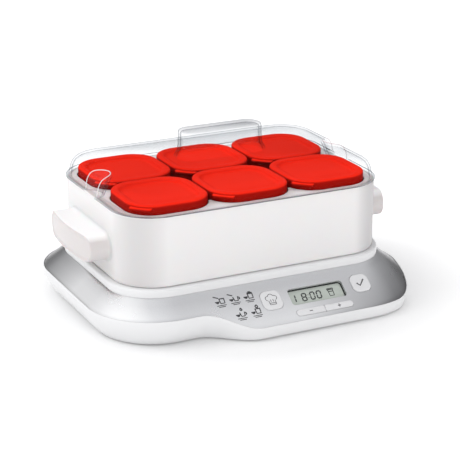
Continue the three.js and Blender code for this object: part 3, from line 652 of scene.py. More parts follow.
def band_width(x, nx, ny):
    """Plan width of the silver band at a point of the collar's outline."""
    if ny >= 0:
        return BAND_WIDTH
    sweep = smooth_step((x - SWEEP_START) / (SWEEP_END - SWEEP_START))
    direction = math.atan2(nx, -ny)
    turn = smooth_step((direction - TURN_START) / (TURN_END - TURN_START))
    return BAND_WIDTH + (BULGE_WIDTH - BAND_WIDTH) * sweep * (1 - turn)


def base_outline():
    """The collar's outline, each point with its band width."""
    points = rounded_outline(**COLLAR, arc_steps=20, side_steps=48)
    return [(x, y + CENTRE_Y, nx, ny, band_width(x, nx, ny)) for x, y, nx, ny in points]


BASE_OUTLINE = base_outline()


def face_height(out):
    """Height of the panel's face at a distance outside the collar."""
    return COLLAR_FOOT - math.tan(SLOPE) * out


def casing_wall(band, share):
    """The casing's outer wall at a share of its depth: (distance outside the collar, height)."""
    edge = face_height(band) - 0.6
    depth = (edge - BASE_BOTTOM) * share
    return band + LIP - TUCK * depth * depth, edge - depth


def base_rings(section_at):
    """Rings round the base from a section, as (out, height) pairs, that depends on the band."""
    sections = [section_at(point[4]) for point in BASE_OUTLINE]
    rings = []
    for level in range(len(sections[0])):
        one = []
        for (x, y, nx, ny, _), section in zip(BASE_OUTLINE, sections):
            out, z = section[level]
            one.append(Vector((x + nx * out, y + ny * out, z)))
        rings.append(one)
    return rings


def casing_section(band):
    """Outer wall, lip, sloped bed, rounded collar, well and ledge, and back down inside."""
    bed_top = [face_height(out) - BED_DEPTH * PLUMB for out in (band + GAP, 0)]
    bed_bottom = [face_height(out) - BED_BOTTOM * PLUMB for out in (-WALL, band - 2)]
    outer = [casing_wall(band, share) for share in steps(1, 0, 8)]
    foot_out, foot_z = outer[0]
    outer[0] = (foot_out - 0.5, foot_z)
    outer.insert(1, (foot_out, foot_z + 0.5))
    inner = [(out - WALL, z) for out, z in reversed(outer[:-1])]
    lip = arc(band + LIP - 0.7, face_height(band) - 0.62, 0.7, 20, 90, 4)
    collar = arc(-2.2, COLLAR_TOP - 2.2, 2.2, 0, 90, 6)
    well = arc(-WELL_INSET + 0.8, COLLAR_TOP - 0.8, 0.8, 90, 180, 4)
    return [
        *outer,
        *lip,
        (band + GAP, face_height(band) - 0.2),
        (band + GAP, bed_top[0]),
        (0, bed_top[1]),
        *collar,
        *well,
        (-WELL_INSET, LEDGE_TOP + 0.6),
        (-WELL_INSET - 0.6, LEDGE_TOP),
        (-LEDGE_INSET, LEDGE_TOP),
        (-LEDGE_INSET, LEDGE_TOP - LEDGE_THICKNESS),
        (WALL - WELL_INSET, LEDGE_TOP - LEDGE_THICKNESS),
        (WALL - WELL_INSET, COLLAR_TOP - WALL),
        (-WALL, COLLAR_TOP - WALL),
        (-WALL, bed_bottom[0]),
        (band - 2, bed_bottom[1]),
        *inner,
    ]


def panel_block(control, grow, top_depth, bottom_depth):
    """A rounded block square to the panel, between two depths below its face."""
    width, depth, radius = control["width"], control["depth"], control["radius"]
    outline = rounded_outline(width + 2 * grow, depth + 2 * grow, radius + grow, 8)
    return on_panel(shell(outline, [(0, -bottom_depth), (0, -top_depth)]), control["x"], control["down"])


def control_openings(window_room, top_depth, bottom_depth):
    """Cutters for the window and, with a gap all round, for the buttons."""
    rooms = ((WINDOW, window_room), (PROGRAM_BUTTON, GAP), (CONFIRM_BUTTON, GAP), (KEY_BAR, GAP))
    return [panel_block(control, room, top_depth, bottom_depth) for control, room in rooms]


def add_casing():
    """White casing with a boss for the cord inlet in its back wall."""
    piece = mesh_object("casing", loft(base_rings(casing_section), closed=True))
    combine(piece, "UNION", block(24, 12, 15, INLET_X, INLET_FACE - 5, INLET_Z - 7, 1))
    flange_hole = moved(pin(INLET_FLANGE_RADIUS + GAP, INLET_FACE - GAP, INLET_FACE + 15), INLET)
    bush_hole = moved(pin(INLET_RADIUS + GAP, INLET_FACE - 25, INLET_FACE + 15), INLET)
    combine(piece, "DIFFERENCE", *control_openings(1, -2, BED_BOTTOM + 4), flange_hole, bush_hole)
    settle(piece, "base", WHITE, "white_plastic", "upper_housing")


def add_silver_band():
    """The silver band lying on the casing's bed, with its openings."""
    drop = PANEL_THICKNESS * PLUMB

    def section(band):
        top = [(out, face_height(out)) for out in steps(band - 0.4, GAP + 0.4, 10)]
        return [
            (band, face_height(band) - drop),
            (band, face_height(band) - 0.5),
            (band - 0.12, face_height(band) - 0.12),
            *top,
            (GAP + 0.12, face_height(GAP) - 0.2),
            (GAP, face_height(GAP) - 0.5),
            (GAP, face_height(GAP) - drop),
        ]

    piece = mesh_object("silver_band", loft(base_rings(section), closed=True))
    combine(piece, "DIFFERENCE", *control_openings(0, -3, 6))
    settle(piece, "base", SILVER, "silver_panel", "deco_panel")


def add_bottom():
    """The floor plate with its vents, screw holes and foot seats."""

    def section(band):
        edge = casing_wall(band, 1)[0] - WALL - 0.4
        return [(edge - 0.6, BASE_BOTTOM), (edge, BASE_BOTTOM + 0.6), (edge, FLOOR_TOP)]

    piece = mesh_object("bottom_plate", loft(base_rings(section)))
    cutters = []
    for x, y in SCREW_PLACES:
        cutters.append(shifted(pin(SCREW_HOLE, 0, 5, 32), x, y))
        cutters.append(shifted(pin(SCREW_HEAD_HOLE, 0, BASE_BOTTOM + SCREW_HEAD_DEPTH, 32), x, y))
    for x, y in FOOT_PLACES:
        cutters.append(shifted(pin(FOOT_SEAT_RADIUS, 0, BASE_BOTTOM + FOOT_SEAT_DEPTH, 32), x, y))
        cutters.append(shifted(pin(FOOT_PEG_HOLE, 0, 5, 32), x, y))
    for index in range(VENTS["count"]):
        x = VENTS["x"] + index * VENTS["pitch"]
        cutters.append(block(VENTS["width"], VENTS["length"], 10, x, VENTS["y"], -2, 1.4))
    combine(piece, "DIFFERENCE", *cutters)
    settle(piece, "base", WHITE, "white_plastic", "bottom_cover")


def add_feet():
    """Rubber feet, each with a peg that snaps into the floor plate."""
    profile = [
        (0.01, 0), (5.6, 0), (6.4, 0.15), (7.2, 0.1), *arc(7.2, 0.8, 0.8, -80, 0, 5), (8, 2.2), (7.8, 2.4),
        (3, 2.4), (3, 4.2), (4.2, 4.3), (3, 5.8), (2.6, 6), (0.01, 6),
    ]
    for number, (x, y) in enumerate(FOOT_PLACES, 1):
        piece = mesh_object(f"rubber_foot_{number}", shifted(turned(profile, 48), x, y))
        settle(piece, "base", RUBBER, "rubber_foot", f"foot_{number}")


def add_screws():
    """Round-headed screws with a cross slot and a ridged shank."""
    head = [(0.01, 2.4), (1.2, 2.4), (1.4, 1.9), (2.7, 1.8), (3.1, 2.0), (3.2, 2.4), (3.2, 2.9), (1.5, 2.9)]
    shank = [(1.5 if turn % 2 else 1.25, 3.5 + turn * 0.6) for turn in range(19)]
    profile = head + shank + [(1.2, 15.4), (0.01, 17)]
    for number, (x, y) in enumerate(SCREW_PLACES, 1):
        piece = mesh_object(f"screw_{number}", shifted(turned(profile, 32), x, y))
        combine(piece, "DIFFERENCE", block(3.6, 0.7, 1, x, y, 1.6, 0.1), block(0.7, 3.6, 1, x, y, 1.6, 0.1))
        settle(piece, "base", STEEL, "steel", f"bottom_screw_{number}")


def add_inlet():
    """Flanged bush in the back wall for the mains lead."""
    face = INLET_FACE
    section = [
        (3.4, 100.4), (3.8, 100), (4.6, 100), (INLET_RADIUS, 100.4), (INLET_RADIUS, face), (6.8, face),
        (INLET_FLANGE_RADIUS, face + 0.3), (INLET_FLANGE_RADIUS, face + 2), *arc(6, face + 2, 1, 0, 90, 4),
        (4.2, face + 3), (3.6, face + 2.6), (3.4, face + 2),
    ]
    piece = mesh_object("inlet_bush", moved(turned(section, 48, closed=True), INLET))
    settle(piece, "base", BLACK, "black_plastic", "cord_inlet")


def add_heater_plate():
    """Pressed plate with a soft edge and a shallow groove all round."""
    outline = rounded_outline(**COLLAR, arc_steps=20)
    outer = WELL_INSET + 1.5
    top = HEATER_TOP
    section = [(outer + 0.5, top - 1.7), (outer, top - 1.2), (outer, top - 0.5), (outer + 0.5, top)]
    section += [(outer + 9, top), (outer + 10, top - 0.4), (outer + 12, top - 0.4), (outer + 13, top)]
    piece = mesh_object("hot_plate", shifted(shell(outline, section), 0, CENTRE_Y))
    settle(piece, "base", ALUMINIUM, "aluminium_plate", "heater_plate")


# ---- Display and buttons -------------------------------------------------------------------


def stroke_marks(name, strokes, width, lift, material, body):
    """Printed lines: flattened tubes along paths given as (x, up) on the panel."""
    mesh = tube_mesh(name, [[(x, up, 0) for x, up in stroke] for stroke in strokes], width / 2)
    flatten = MARK_HEIGHT / (width / 2)
    for vertex in mesh.vertices:
        point = Vector((vertex.co.x, vertex.co.y, lift + vertex.co.z * flatten))
        vertex.co = (PANEL @ point) * MM
    settle(new_object(name, mesh), body, material, "black_plastic", sharp=80)


def placed(strokes, x, up):
    """Strokes of a symbol set down at a place."""
    return [[(x + px, up + py) for px, py in stroke] for stroke in strokes]


def add_display():
    """Reflective display behind a clear lens, with a black frame round it as painted shade along the
    window's inner edges.
    """
    x, down = WINDOW["x"], WINDOW["down"]
    outline = rounded_outline(60, 21, 2.5, 6)
    section = [(0.4, -10.4), (0, -10), (0, -5), (0.4, -4.6), (1.4, -4.6), (1.4, -3.7), (1.7, -3.45)]
    cell = mesh_object("display_cell", on_panel(shell(outline, section), x, down))
    settle(cell, "base", DISPLAY, "black_plastic", "lcd_module")

    # Painted shade: a thin black frame for the shade along the window's inner edges.
    outline = rounded_outline(57.0, 18.0, 3.4, 8)
    section = [(0, -3.44), (0, -3.36), (1.25, -3.36), (1.25, -3.44)]
    rings = [ring(outline, inset, z) for inset, z in section]
    shade_frame = mesh_object("display_shade_frame", on_panel(loft(rings, closed=True), x, down))
    settle(shade_frame, "base", BLACK, "black_plastic")

    outline = rounded_outline(57.4, 18.4, 3.7, 8)
    section = [(0.3, -3.3), (0, -3), (0, -1.8), (0.3, -1.5)]
    lens = mesh_object("display_lens", on_panel(shell(outline, section), x, down))
    settle(lens, "base", LENS, "lens_clear", "lcd_window")
    add_display_figures()


SEGMENTS = {
    "a": [(0.3, 7.4), (3.7, 7.4)],
    "b": [(4.0, 7.1), (4.0, 4.0)],
    "c": [(4.0, 3.4), (4.0, 0.3)],
    "d": [(0.3, 0), (3.7, 0)],
    "e": [(0, 0.3), (0, 3.4)],
    "f": [(0, 4.0), (0, 7.1)],
    "g": [(0.3, 3.7), (3.7, 3.7)],
}
DIGITS = {"0": "abcdef", "1": "bc", "8": "abcdefg"}


def digit_strokes(digit, x, up):
    """Bars of a seven-segment digit, leaning slightly to the right."""
    return [[(x + px + py * 0.08, up + py) for px, py in SEGMENTS[name]] for name in DIGITS[digit]]


def add_display_figures():
    """Program number, running time and a small jar: figures and symbols only."""
    up = -WINDOW["down"] - 3.9
    thick = []
    for digit, x in (("1", 17.5), ("8", 28.5), ("0", 37.0), ("0", 43.6)):
        thick += digit_strokes(digit, x, up)
    thick += [[(35.0, up + 1.9), (35.06, up + 2.3)], [(35.3, up + 5.1), (35.36, up + 5.5)]]
    stroke_marks("display_digits", thick, 1.25, -3.38, INK, "base")
    jar = [
        [(-2.6, 3.0), (2.6, 3.0)],
        [(-3.0, 4.0), (3.0, 4.0), (3.0, 2.8), (-3.0, 2.8), (-3.0, 4.0)],
        [(-2.5, 2.8), (-2.1, -3.6), (2.1, -3.6), (2.5, 2.8)],
        [(-2.0, 0.9), (2.0, 0.9)],
    ]
    stroke_marks("display_jar", placed(jar, 58.5, up + 3.7), 0.85, -3.38, INK, "base")


def square_button_section(control):
    """Flange below the panel, straight sides, and a soft crown dished a little in the middle."""
    return [
        (-0.9, -FLANGE_BOTTOM),
        (-1.2, -FLANGE_BOTTOM + 0.2),
        (-1.2, -FLANGE_TOP),
        (0, -FLANGE_TOP),
        *[(0.8 - dx, z) for dx, z in arc(0, BUTTON_PROUD - 0.8, 0.8, 0, 80, 5)],
        (1.6, BUTTON_PROUD - 0.02),
        (2.6, BUTTON_PROUD - 0.05),
        (control["width"] / 4, BUTTON_PROUD - 0.122),
    ]


def add_button(name, shape, x, down, body, node):
    """A button with the stem that presses its switch."""
    piece = mesh_object(name, on_panel(shape, x, down))
    stem = pin(BUTTON_STEM_RADIUS, -FLANGE_BOTTOM - 0.5, -FLANGE_BOTTOM + 0.5)
    combine(piece, "UNION", on_panel(stem, x, down))
    settle(piece, body, BUTTON, "button_white", node)


def add_square_button(name, control, body, node):
    outline = rounded_outline(control["width"], control["depth"], control["radius"], 10)
    shape = shell(outline, square_button_section(control))
    add_button(name, shape, control["x"], control["down"], body, node)


def add_keys():
    """Minus and plus keys: one bar split in the middle."""
    half = (KEY_BAR["width"] - GAP) / 2
    crown = [(0.7 - dx, z) for dx, z in arc(0, BUTTON_PROUD - 0.7, 0.7, 0, 85, 5)]
    section = [(0, -FLANGE_BOTTOM), (0, -FLANGE_TOP), *crown]
    for side, label, right, left in ((-1, "minus", 0.9, 2.9), (1, "plus", 2.9, 0.9)):
        x = KEY_BAR["x"] + side * (half + GAP) / 2
        outline = rounded_outline(half, KEY_BAR["depth"], right, 10, left_radius=left)
        shape = shell(outline, section)
        add_button(f"{label}_key", shape, x, KEY_BAR["down"], f"{label}_button", f"button_{label}")


def add_button_symbols():
    """Own generic symbols: a cook's hat, a tick, a minus and a plus."""
    puffs = ((-3.3, 1.9, 2.3, 250, 75), (0, 3.6, 2.5, 150, 30), (3.3, 1.9, 2.3, 105, -70))
    hat = [
        [point for puff in puffs for point in arc(*puff, 10)],
        [(-3.2, -0.4), (-3.0, -4.8)],
        [(3.2, -0.4), (3.0, -4.8)],
        [(-3.0, -4.8), (3.0, -4.8)],
        [(-3.1, -3.2), (3.1, -3.2)],
        [(-1.2, -2.0), (-1.2, 0.6)],
        [(1.2, -2.0), (1.2, 0.6)],
    ]
    tick = [[(-3.8, 0.2), (-1.2, -2.8), (4.2, 3.2)]]
    for name, strokes, control, width, body in (
        ("program_symbol", hat, PROGRAM_BUTTON, 0.6, "program_button"),
        ("confirm_symbol", tick, CONFIRM_BUTTON, 1.5, "ok_button"),
    ):
        place = placed(strokes, control["x"], -control["down"])
        stroke_marks(name, place, width, BUTTON_PROUD - 0.06, GREY_INK, body)
    quarter = (KEY_BAR["width"] + GAP) / 4
    minus = [[(-1.6, 0), (1.6, 0)]]
    plus = [[(-1.6, 0), (1.6, 0)], [(0, -1.6), (0, 1.6)]]
    for label, side, strokes in (("minus", -1, minus), ("plus", 1, plus)):
        place = placed(strokes, KEY_BAR["x"] + side * quarter, -KEY_BAR["down"])
        stroke_marks(f"{label}_symbol", place, 0.85, BUTTON_PROUD + 0.02, GREY_INK, f"{label}_button")


def vessel(width, height, taper):
    """Outline of a little jar, pot or cup, standing on up = 0."""
    return [(-width / 2, height), (-width / 2 + taper, 0), (width / 2 - taper, 0), (width / 2, height)]


def add_pictograms():
    """Five small generic food symbols beside the program button, each over plain rules."""
    spoon = [[(-5.4, 7.8), (-0.8, 5.6)]]
    bowl = [[(-5.2, 1.9), (-1.0, 1.9)], [(-4.7, 1.2), (-1.5, 1.2)], [(-3.9, 0.5), (-2.2, 0.5)]]
    jar = placed([vessel(4.6, 4.4, 0.3), [(-2.7, 4.8), (2.7, 4.8)]], 1.8, 0)
    cup = placed([vessel(4.8, 4.2, 0.8), arc(2.6, 2.3, 1.1, 80, -80, 6)], 1.4, 0)
    lid = placed([[(-1.3, 6.6), (1.3, 6.6)], [(-2.5, 5.7), (2.5, 5.7)]], 1.8, 0)
    drop = [[(1.4, 8.6), *arc(1.4, 6.8, 0.9, 150, 390, 8), (1.4, 8.6)]]
    fruit = [arc(1.8, 7.1, 1.2, 0, 360, 12), [(1.8, 8.3), (2.6, 9.0)]]
    symbols = [
        (jar + spoon + bowl, -50.8, -16.0),
        (cup + spoon + bowl, -36.9, -15.9),
        (jar + lid + bowl, -22.8, -15.9),
        (cup + drop + bowl, -36.6, -32.4),
        (jar + fruit + bowl, -21.6, -32.4),
    ]
    lines = []
    rules = []
    for strokes, x, up in symbols:
        lines += placed(strokes, x, up)
        rules += [[(x - 4.6, up - 2.0), (x + 4.6, up - 2.0)], [(x - 3.2, up - 3.5), (x + 3.2, up - 3.5)]]
    stroke_marks("panel_pictograms", lines, 1.1, 0.02, INK, "base")
    stroke_marks("panel_rules", rules, 0.75, 0.02, INK, "base")


# ---- Tray ----------------------------------------------------------------------------------


def slot_outline(length, height):
    """A slot with round ends, anticlockwise from its right tip, even above and below."""
    radius = height / 2
    reach = length / 2 - radius

    def end(tip, start, stop, count):
        turns = [math.radians(angle) for angle in steps(start, stop, count)]
        directions = [(math.cos(a), math.sin(a)) for a in turns]
        return [(tip * reach + radius * nx, radius * ny, nx, ny) for nx, ny in directions]

    def side(up):
        return [(x, up * radius, 0, up) for x in steps(up * reach, -up * reach, 24)[1:-1]]

    return end(1, 0, 90, 16) + side(1) + end(-1, 90, 270, 32) + side(-1) + end(1, 270, 360, 16)[:-1]


def closed_across(shape, count):
    """Swaps the last flat end of a slot's loft for a strip of faces across the slot."""
    points, faces = shape
    first = len(points) - count
    half = count // 2
    strip = [(first, first + 1, first + count - 1)]
    for k in range(1, half - 1):
        strip.append((first + k, first + k + 1, first + count - k - 1, first + count - k))
    strip.append((first + half - 1, first + half, first + half + 1))
    return points, faces[:-1] + strip


def handle_shape(side):
    """A slot-shaped slab with a soft foot on the wall and a bead round its bulging face."""
    outline = slot_outline(2 * HANDLE_HALF_LENGTH, HANDLE_HEIGHT)
    wall = TRAY["width"] / 2
    foot = [(-2.6, wall - 0.1), (-2.6, wall + 0.1), (-1.7, wall + 0.4), (-0.8, wall + 1.2)]
    foot += [(-0.2, wall + 2.6), (0, wall + 5)]
    edge = [(1.6 - dx, HANDLE_REACH - 1.6 + dz) for dx, dz in arc(0, 0, 1.6, 0, 90, 6)]
    bead = [(2.2, HANDLE_REACH - 0.1), (2.8, HANDLE_REACH - 0.6), (3.5, HANDLE_REACH - 0.9)]
    face = [(inset, HANDLE_REACH - 0.9) for inset in (4.5, 6.5, 9, 11, 12.2)]
    rings = []
    for inset, reach in foot + edge + bead + face:
        one = []
        for x, y, nx, ny in outline:
            along = x - nx * inset
            share = min(max((reach - wall) / (HANDLE_REACH - wall), 0), 1)
            bulge = HANDLE_BULGE * (along / HANDLE_HALF_LENGTH) ** 2 * share
            one.append(Vector((side * (reach - bulge), along, HANDLE_MIDDLE + y - ny * inset)))
        rings.append(one)
    return shifted(closed_across(loft(rings), len(outline)), 0, CENTRE_Y)


def handle_hollow(side):
    """The hollow under a handle for the fingers, open below."""
    inner = TRAY["width"] / 2 + 3
    outer = HANDLE_REACH - HANDLE_BULGE - 4
    outline = rounded_outline(outer - inner, 2 * (HANDLE_HALF_LENGTH - 11), 5, 8)
    top = HANDLE_MIDDLE + HANDLE_HEIGHT / 2 - 4
    section = [(0, HANDLE_MIDDLE - HANDLE_HEIGHT), (0, top - 2), (0.6, top - 0.6), (2, top)]
    return shifted(shell(outline, section), side * (inner + outer) / 2, CENTRE_Y)


def jar_places():
    """The six places, front row first, from left to right."""
    return [(column * JAR_PITCH, CENTRE_Y + row * JAR_PITCH) for row in (-0.5, 0.5) for column in (-1, 0, 1)]


def ledge_shape():
    """The flat ledge round the tray's mouth, scalloped to follow the lids."""
    outline = rounded_outline(**TRAY, arc_steps=20, side_steps=4)
    top = TRAY_RIM - 0.05
    section = [(1.2, TRAY_RIM - 2.2), (1.2, top - 0.4), (1.6, top)]
    piece = mesh_object("ledge", shell(outline, section))
    mouth = rounded_outline(**TRAY_MOUTH, arc_steps=4)
    hole = rounded_outline(**LID_HOLE, arc_steps=16)
    cutters = [shell(mouth, [(0, 105), (0, 120)])]
    for x, y in jar_places():
        cutters.append(shifted(shell(hole, [(0, 105), (0, 120)]), x, y - CENTRE_Y))
    combine(piece, "DIFFERENCE", *cutters)
    return taken_shape(piece)


def add_tray():
    """The jar tray with its ledge and floor openings, and a handle on each side."""
    outline = rounded_outline(**TRAY, arc_steps=20, side_steps=4)
    section = [
        (5.6, TRAY_FLOOR), (5, TRAY_FLOOR + 0.6), (5, TRAY_SEAT), (1.2, TRAY_SEAT),
        (0.35, TRAY_SEAT + 0.35), (0, TRAY_SEAT + 1.2),
        *[(0, z) for z in steps(60, 104, 4)],
        (0, TRAY_RIM - 1.0), (0.3, TRAY_RIM - 0.3), (1.0, TRAY_RIM), (2.2, TRAY_RIM), (2.6, TRAY_RIM - 0.4),
        (2.6, 53), (2.9, 51.6), (3.6, 51.2), (6.8, 51.2), (7.4, 50.6), (7.4, 46.6), (8, 46),
    ]
    piece = mesh_object("tray", shell(outline, section))
    openings = [shifted(pin(TRAY_OPENING, 30, 60, 64), x, y - CENTRE_Y) for x, y in jar_places()]
    combine(piece, "UNION", ledge_shape())
    combine(piece, "DIFFERENCE", *openings)
    piece.data.transform(Matrix.Translation((0, CENTRE_Y * MM, 0)))
    settle(piece, "tray", TRAY_WHITE, "tray_plastic", "jar_tray", sharp=50)
    for name, side in (("left", -1), ("right", 1)):
        handle = mesh_object(f"handle_{name}", handle_shape(side))
        combine(handle, "DIFFERENCE", handle_hollow(side))
        settle(handle, "tray", TRAY_WHITE, "tray_plastic", f"tray_handle_{name}", sharp=50)


# ---- Jars ----------------------------------------------------------------------------------


def jar_shape():
    """Square-shouldered glass jar: domed foot, neck bead and rounded mouth."""
    outline = rounded_outline(**JAR, arc_steps=12, side_steps=2)
    section = [
        (12, 47.4), (8.5, 46.6), (6.6, 46.3), (4.6, 46.6), (2.4, 47.6), (0.9, 49.4), (0.2, 51.6), (0, 54),
        *[(0, z) for z in steps(62, 104, 4)],
        (0.2, 106), (0.9, 107.6), (0.9, 112), (0.6, 112.8), (0.9, 113.6), (0.9, 118.4),
        (1.3, 119), (2.1, 119.2), (2.9, 119), (3.4, 118.2),
        *[(3.6, z) for z in steps(110, 60, 4)],
        (4.0, 56), (5.2, 53), (7.6, 51.4), (11, 51.0), (16, 51.0),
    ]
    return shell(outline, section)


def lid_shape():
    """Soft lid: skirt, round rim and a sunk panel that rises a little to its middle."""
    outline = rounded_outline(**LID, arc_steps=14, side_steps=3)
    section = [
        (8.6, LID_SUNK - 1.8), (7, LID_SUNK - 1.6), (6.6, LID_SUNK - 1.2), (6.6, 119.5), (1.9, 119.5),
        (1.9, LID_FOOT + 0.5), (1.5, LID_FOOT), (0.5, LID_FOOT), (0.15, LID_FOOT + 0.5), (0.1, 114),
        *arc(2.3, LID_TOP - 2.3, 2.3, 180, 90, 6),
        (4.6, LID_TOP - 0.02), (6.3, LID_TOP - 0.15), (7.3, LID_TOP - 0.6), (8.0, LID_TOP - 1.5),
        (8.7, LID_TOP - 2.4), (9.6, LID_SUNK + 0.06), (11.5, LID_SUNK), (14, LID_SUNK + 0.04),
    ]
    return domed(outline, section, LID_SUNK + 0.3, steps(0.85, 0.1, 5))


def tab_shape():
    """The lid's pull tab, a rounded tongue at one corner."""
    section = [(0.6, TAB_BOTTOM), (0.1, TAB_BOTTOM + 0.3), (0, TAB_BOTTOM + 0.8)]
    section += [(0, TAB_TOP - 0.8), (0.25, TAB_TOP - 0.3), (0.9, TAB_TOP)]
    tongue = shifted(shell(rounded_outline(**TAB, arc_steps=8), section), TAB_MIDDLE, 0)
    return moved(tongue, Matrix.Rotation(TAB_ANGLE, 4, "Z"))


def add_jars():
    """Six glass jars, each with its own lid."""
    jar = jar_shape()
    lid = lid_shape()
    tab = tab_shape()
    for number, (x, y) in enumerate(jar_places(), 1):
        glass = mesh_object(f"glass_jar_{number}", shifted(jar, x, y))
        settle(glass, f"glass_jar_{number}", GLASS, "jar_glass", f"jar_{number}")
        piece = mesh_object(f"red_lid_{number}", shifted(lid, x, y))
        combine(piece, "UNION", shifted(tab, x, y))
        settle(piece, f"lid_{number}", RED, "red_lid", f"jar_lid_{number}", sharp=50)


# ---- Cover ---------------------------------------------------------------------------------


def cover_body(section, crown):
    """The dome of the cover, without its grip and notches."""
    outline = rounded_outline(**COVER, arc_steps=20, side_steps=6)
    return domed(outline, section, crown, steps(0.96, 0.08, 11))


def grip_shape(shrink, bottom, top):
    """The grip: slot-shaped, flared at its foot and round at its top edge."""
    width = 2 * (GRIP_HALF_LENGTH - shrink)
    depth = 2 * (GRIP_HALF_WIDTH - shrink)
    outline = rounded_outline(width, depth, depth / 2 - 0.5, 14, 6)
    flare = [(-3.7, bottom), (-3.7, 137), (-3.3, 138.2), (-2.3, 139.6)]
    flare += [(-1.2, GRIP_FLARE_TOP + 0.4), (-0.5, GRIP_FLARE_TOP + 2.6)]
    straight = [(-0.2, 147), (0, 153), (0, top - 1.6)]
    return shell(outline, flare + straight + [(0.25, top - 0.75), (0.8, top - 0.2), (1.7, top)])


def notch_shape(side, grow):
    """A leaning round scoop in the side of the cover."""
    lean = Matrix.Rotation(-side * math.atan(NOTCH_LEAN), 4, "Y")
    place = Matrix.Translation((side * NOTCH_AXIS, 0, COVER_SEAT))
    return moved(pin(NOTCH_RADIUS + grow, -30, 30, 64), place @ lean)


def beyond_notch_axis(x, z):
    """Distance inwards from a notch's leaning axis, square to it."""
    return (NOTCH_AXIS - NOTCH_LEAN * (z - COVER_SEAT) - abs(x)) * math.cos(math.atan(NOTCH_LEAN))


def tint_cover(piece):
    """The grip, the rim flange and the notches show more of the plastic's grey."""
    grip, rim, notch = 1, 2, 3
    for material in (CLEAR_GRIP, CLEAR_RIM, CLEAR_NOTCH):
        piece.data.materials.append(material)
    for face in piece.data.polygons:
        x, y, z = face.center / MM
        corners = [piece.data.vertices[index].co / MM for index in face.vertices]
        from_axis = max(math.hypot(beyond_notch_axis(corner.x, corner.z), corner.y) for corner in corners)
        in_grip = z > COVER_CROWN - 0.2 and abs(x) < GRIP_HALF_LENGTH + 5 and abs(y) < GRIP_HALF_WIDTH + 5
        at_grip_edge = z < GRIP_FLARE_TOP or (z > GRIP_TOP - 1.5 and abs(face.normal.z) < 0.95)
        if in_grip:
            face.material_index = rim if at_grip_edge else grip
        elif from_axis < NOTCH_RADIUS + 2.3:
            face.material_index = notch
        elif z < COVER_SEAT + 1.75:
            face.material_index = rim


def notch_edge(side, outside):
    """The line where a notch meets the cover's outer face, up behind it and down in front."""
    half_width = COVER["width"] / 2
    crown_inset, crown_start = outside[-1]
    profile = [(inset, z) for inset, z in outside if z > COVER_SEAT + 1.7]
    for inset in steps(crown_inset + 0.2, 22, 60):
        share = (half_width - inset) / (half_width - crown_inset)
        profile.append((inset, COVER_CROWN - (COVER_CROWN - crown_start) * share * share))
    rising = []
    for inset, z in profile:
        inward = beyond_notch_axis(half_width - inset, z)
        if abs(inward) <= NOTCH_RADIUS:
            rising.append((side * (half_width - inset), math.sqrt(NOTCH_RADIUS ** 2 - inward ** 2), z))
    falling = [(x, -y, z) for x, y, z in reversed(rising)]
    return [(x, y + CENTRE_Y, z) for x, y, z in rising + falling]


def add_notch_bead(name, side, outside):
    """The thin moulded bead round a notch, milky white as a painted highlight along the notch's edge."""
    mesh = tube_mesh(name, [notch_edge(side, outside)], 0.4)
    mesh.transform(Matrix.Scale(MM, 4))
    settle(new_object(name, mesh), "clear_cover", CLEAR_BEAD, "clear_cover", sharp=80)


def cover_section(pairs):
    """Pairs of (inset, height over the cover's seat) as (inset, height)."""
    return [(inset, COVER_SEAT + rise) for inset, rise in pairs]


def add_cover():
    """Outside less inside, each made of a domed body, the grip and the two side notches."""
    outside = cover_section([
        (0.4, 0), (0, 0.3), (0, 1.3), (0.3, 1.6), (2.4, 1.8), (2.8, 2.3), (3.6, 7), (4.3, 10), (5.4, 12.5),
        (6.7, 14.6), (8.4, 16.2), (10.6, 17.3), (13.5, 18),
    ])
    inside = cover_section([
        (4.8, -5), (4.9, 1), (5.4, 6), (6.1, 9), (7.2, 11.6), (8.4, 13.4), (10, 14.7), (13.5, 16),
    ])
    piece = mesh_object("clear_cover", cover_body(outside, COVER_CROWN))
    combine(piece, "UNION", grip_shape(0, 134, GRIP_TOP))
    combine(piece, "DIFFERENCE", notch_shape(-1, 0), notch_shape(1, 0))
    hollow = mesh_object("cover_hollow", cover_body(inside, COVER_CROWN - COVER_WALL))
    combine(hollow, "UNION", grip_shape(COVER_WALL, 130, GRIP_TOP - COVER_WALL))
    combine(hollow, "DIFFERENCE", notch_shape(-1, COVER_WALL), notch_shape(1, COVER_WALL))
    combine(piece, "DIFFERENCE", taken_shape(hollow))
    settle(piece, "clear_cover", CLEAR, "clear_cover", "cover", sharp=42)
    tint_cover(piece)
    piece.data.transform(Matrix.Translation((0, CENTRE_Y * MM, 0)))
    piece.visible_shadow = False
    piece.visible_diffuse = False
    add_notch_bead("notch_bead_left", -1, outside)
    add_notch_bead("notch_bead_right", 1, outside)


# ---- Inner CAD pieces ----------------------------------------------------------------------


def dress_inner_pieces():
    """Materials and softened edges for the pieces inside the base, which keep their CAD shape."""
    finishes = (
        (MICA, ("heating_element",)),
        (FIBRE, ("insulation_pad", "ribbon_cable")),
        (STEEL, ("heat_shield", "temperature_sensor", "thermal_fuse")),
        (ALUMINIUM, ("capacitor",)),
        (BOARD, ("power_board", "control_board")),
        (WHITE, ("terminal_block",)),
        (LEAD, ("live_lead", "neutral_lead", "heater_lead_front", "heater_lead_rear")),
        (BLACK, ("transformer", "relay", "buzzer")),
        (BLACK, ("switch_program", "switch_ok", "switch_minus", "switch_plus")),
    )
    for material, names in finishes:
        for name in names:
            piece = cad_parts[name]
            piece.data.materials.clear()
            piece.data.materials.append(material)
            soften(piece, 0.25)


# ---- Camera, light and floor ---------------------------------------------------------------

AIM = Vector((-0.0003, -0.0125, 0.0660))
AZIMUTH = math.radians(-26.30)
ELEVATION = math.radians(19.41)
DISTANCE = 1.4879
LENS_MM = 124.95

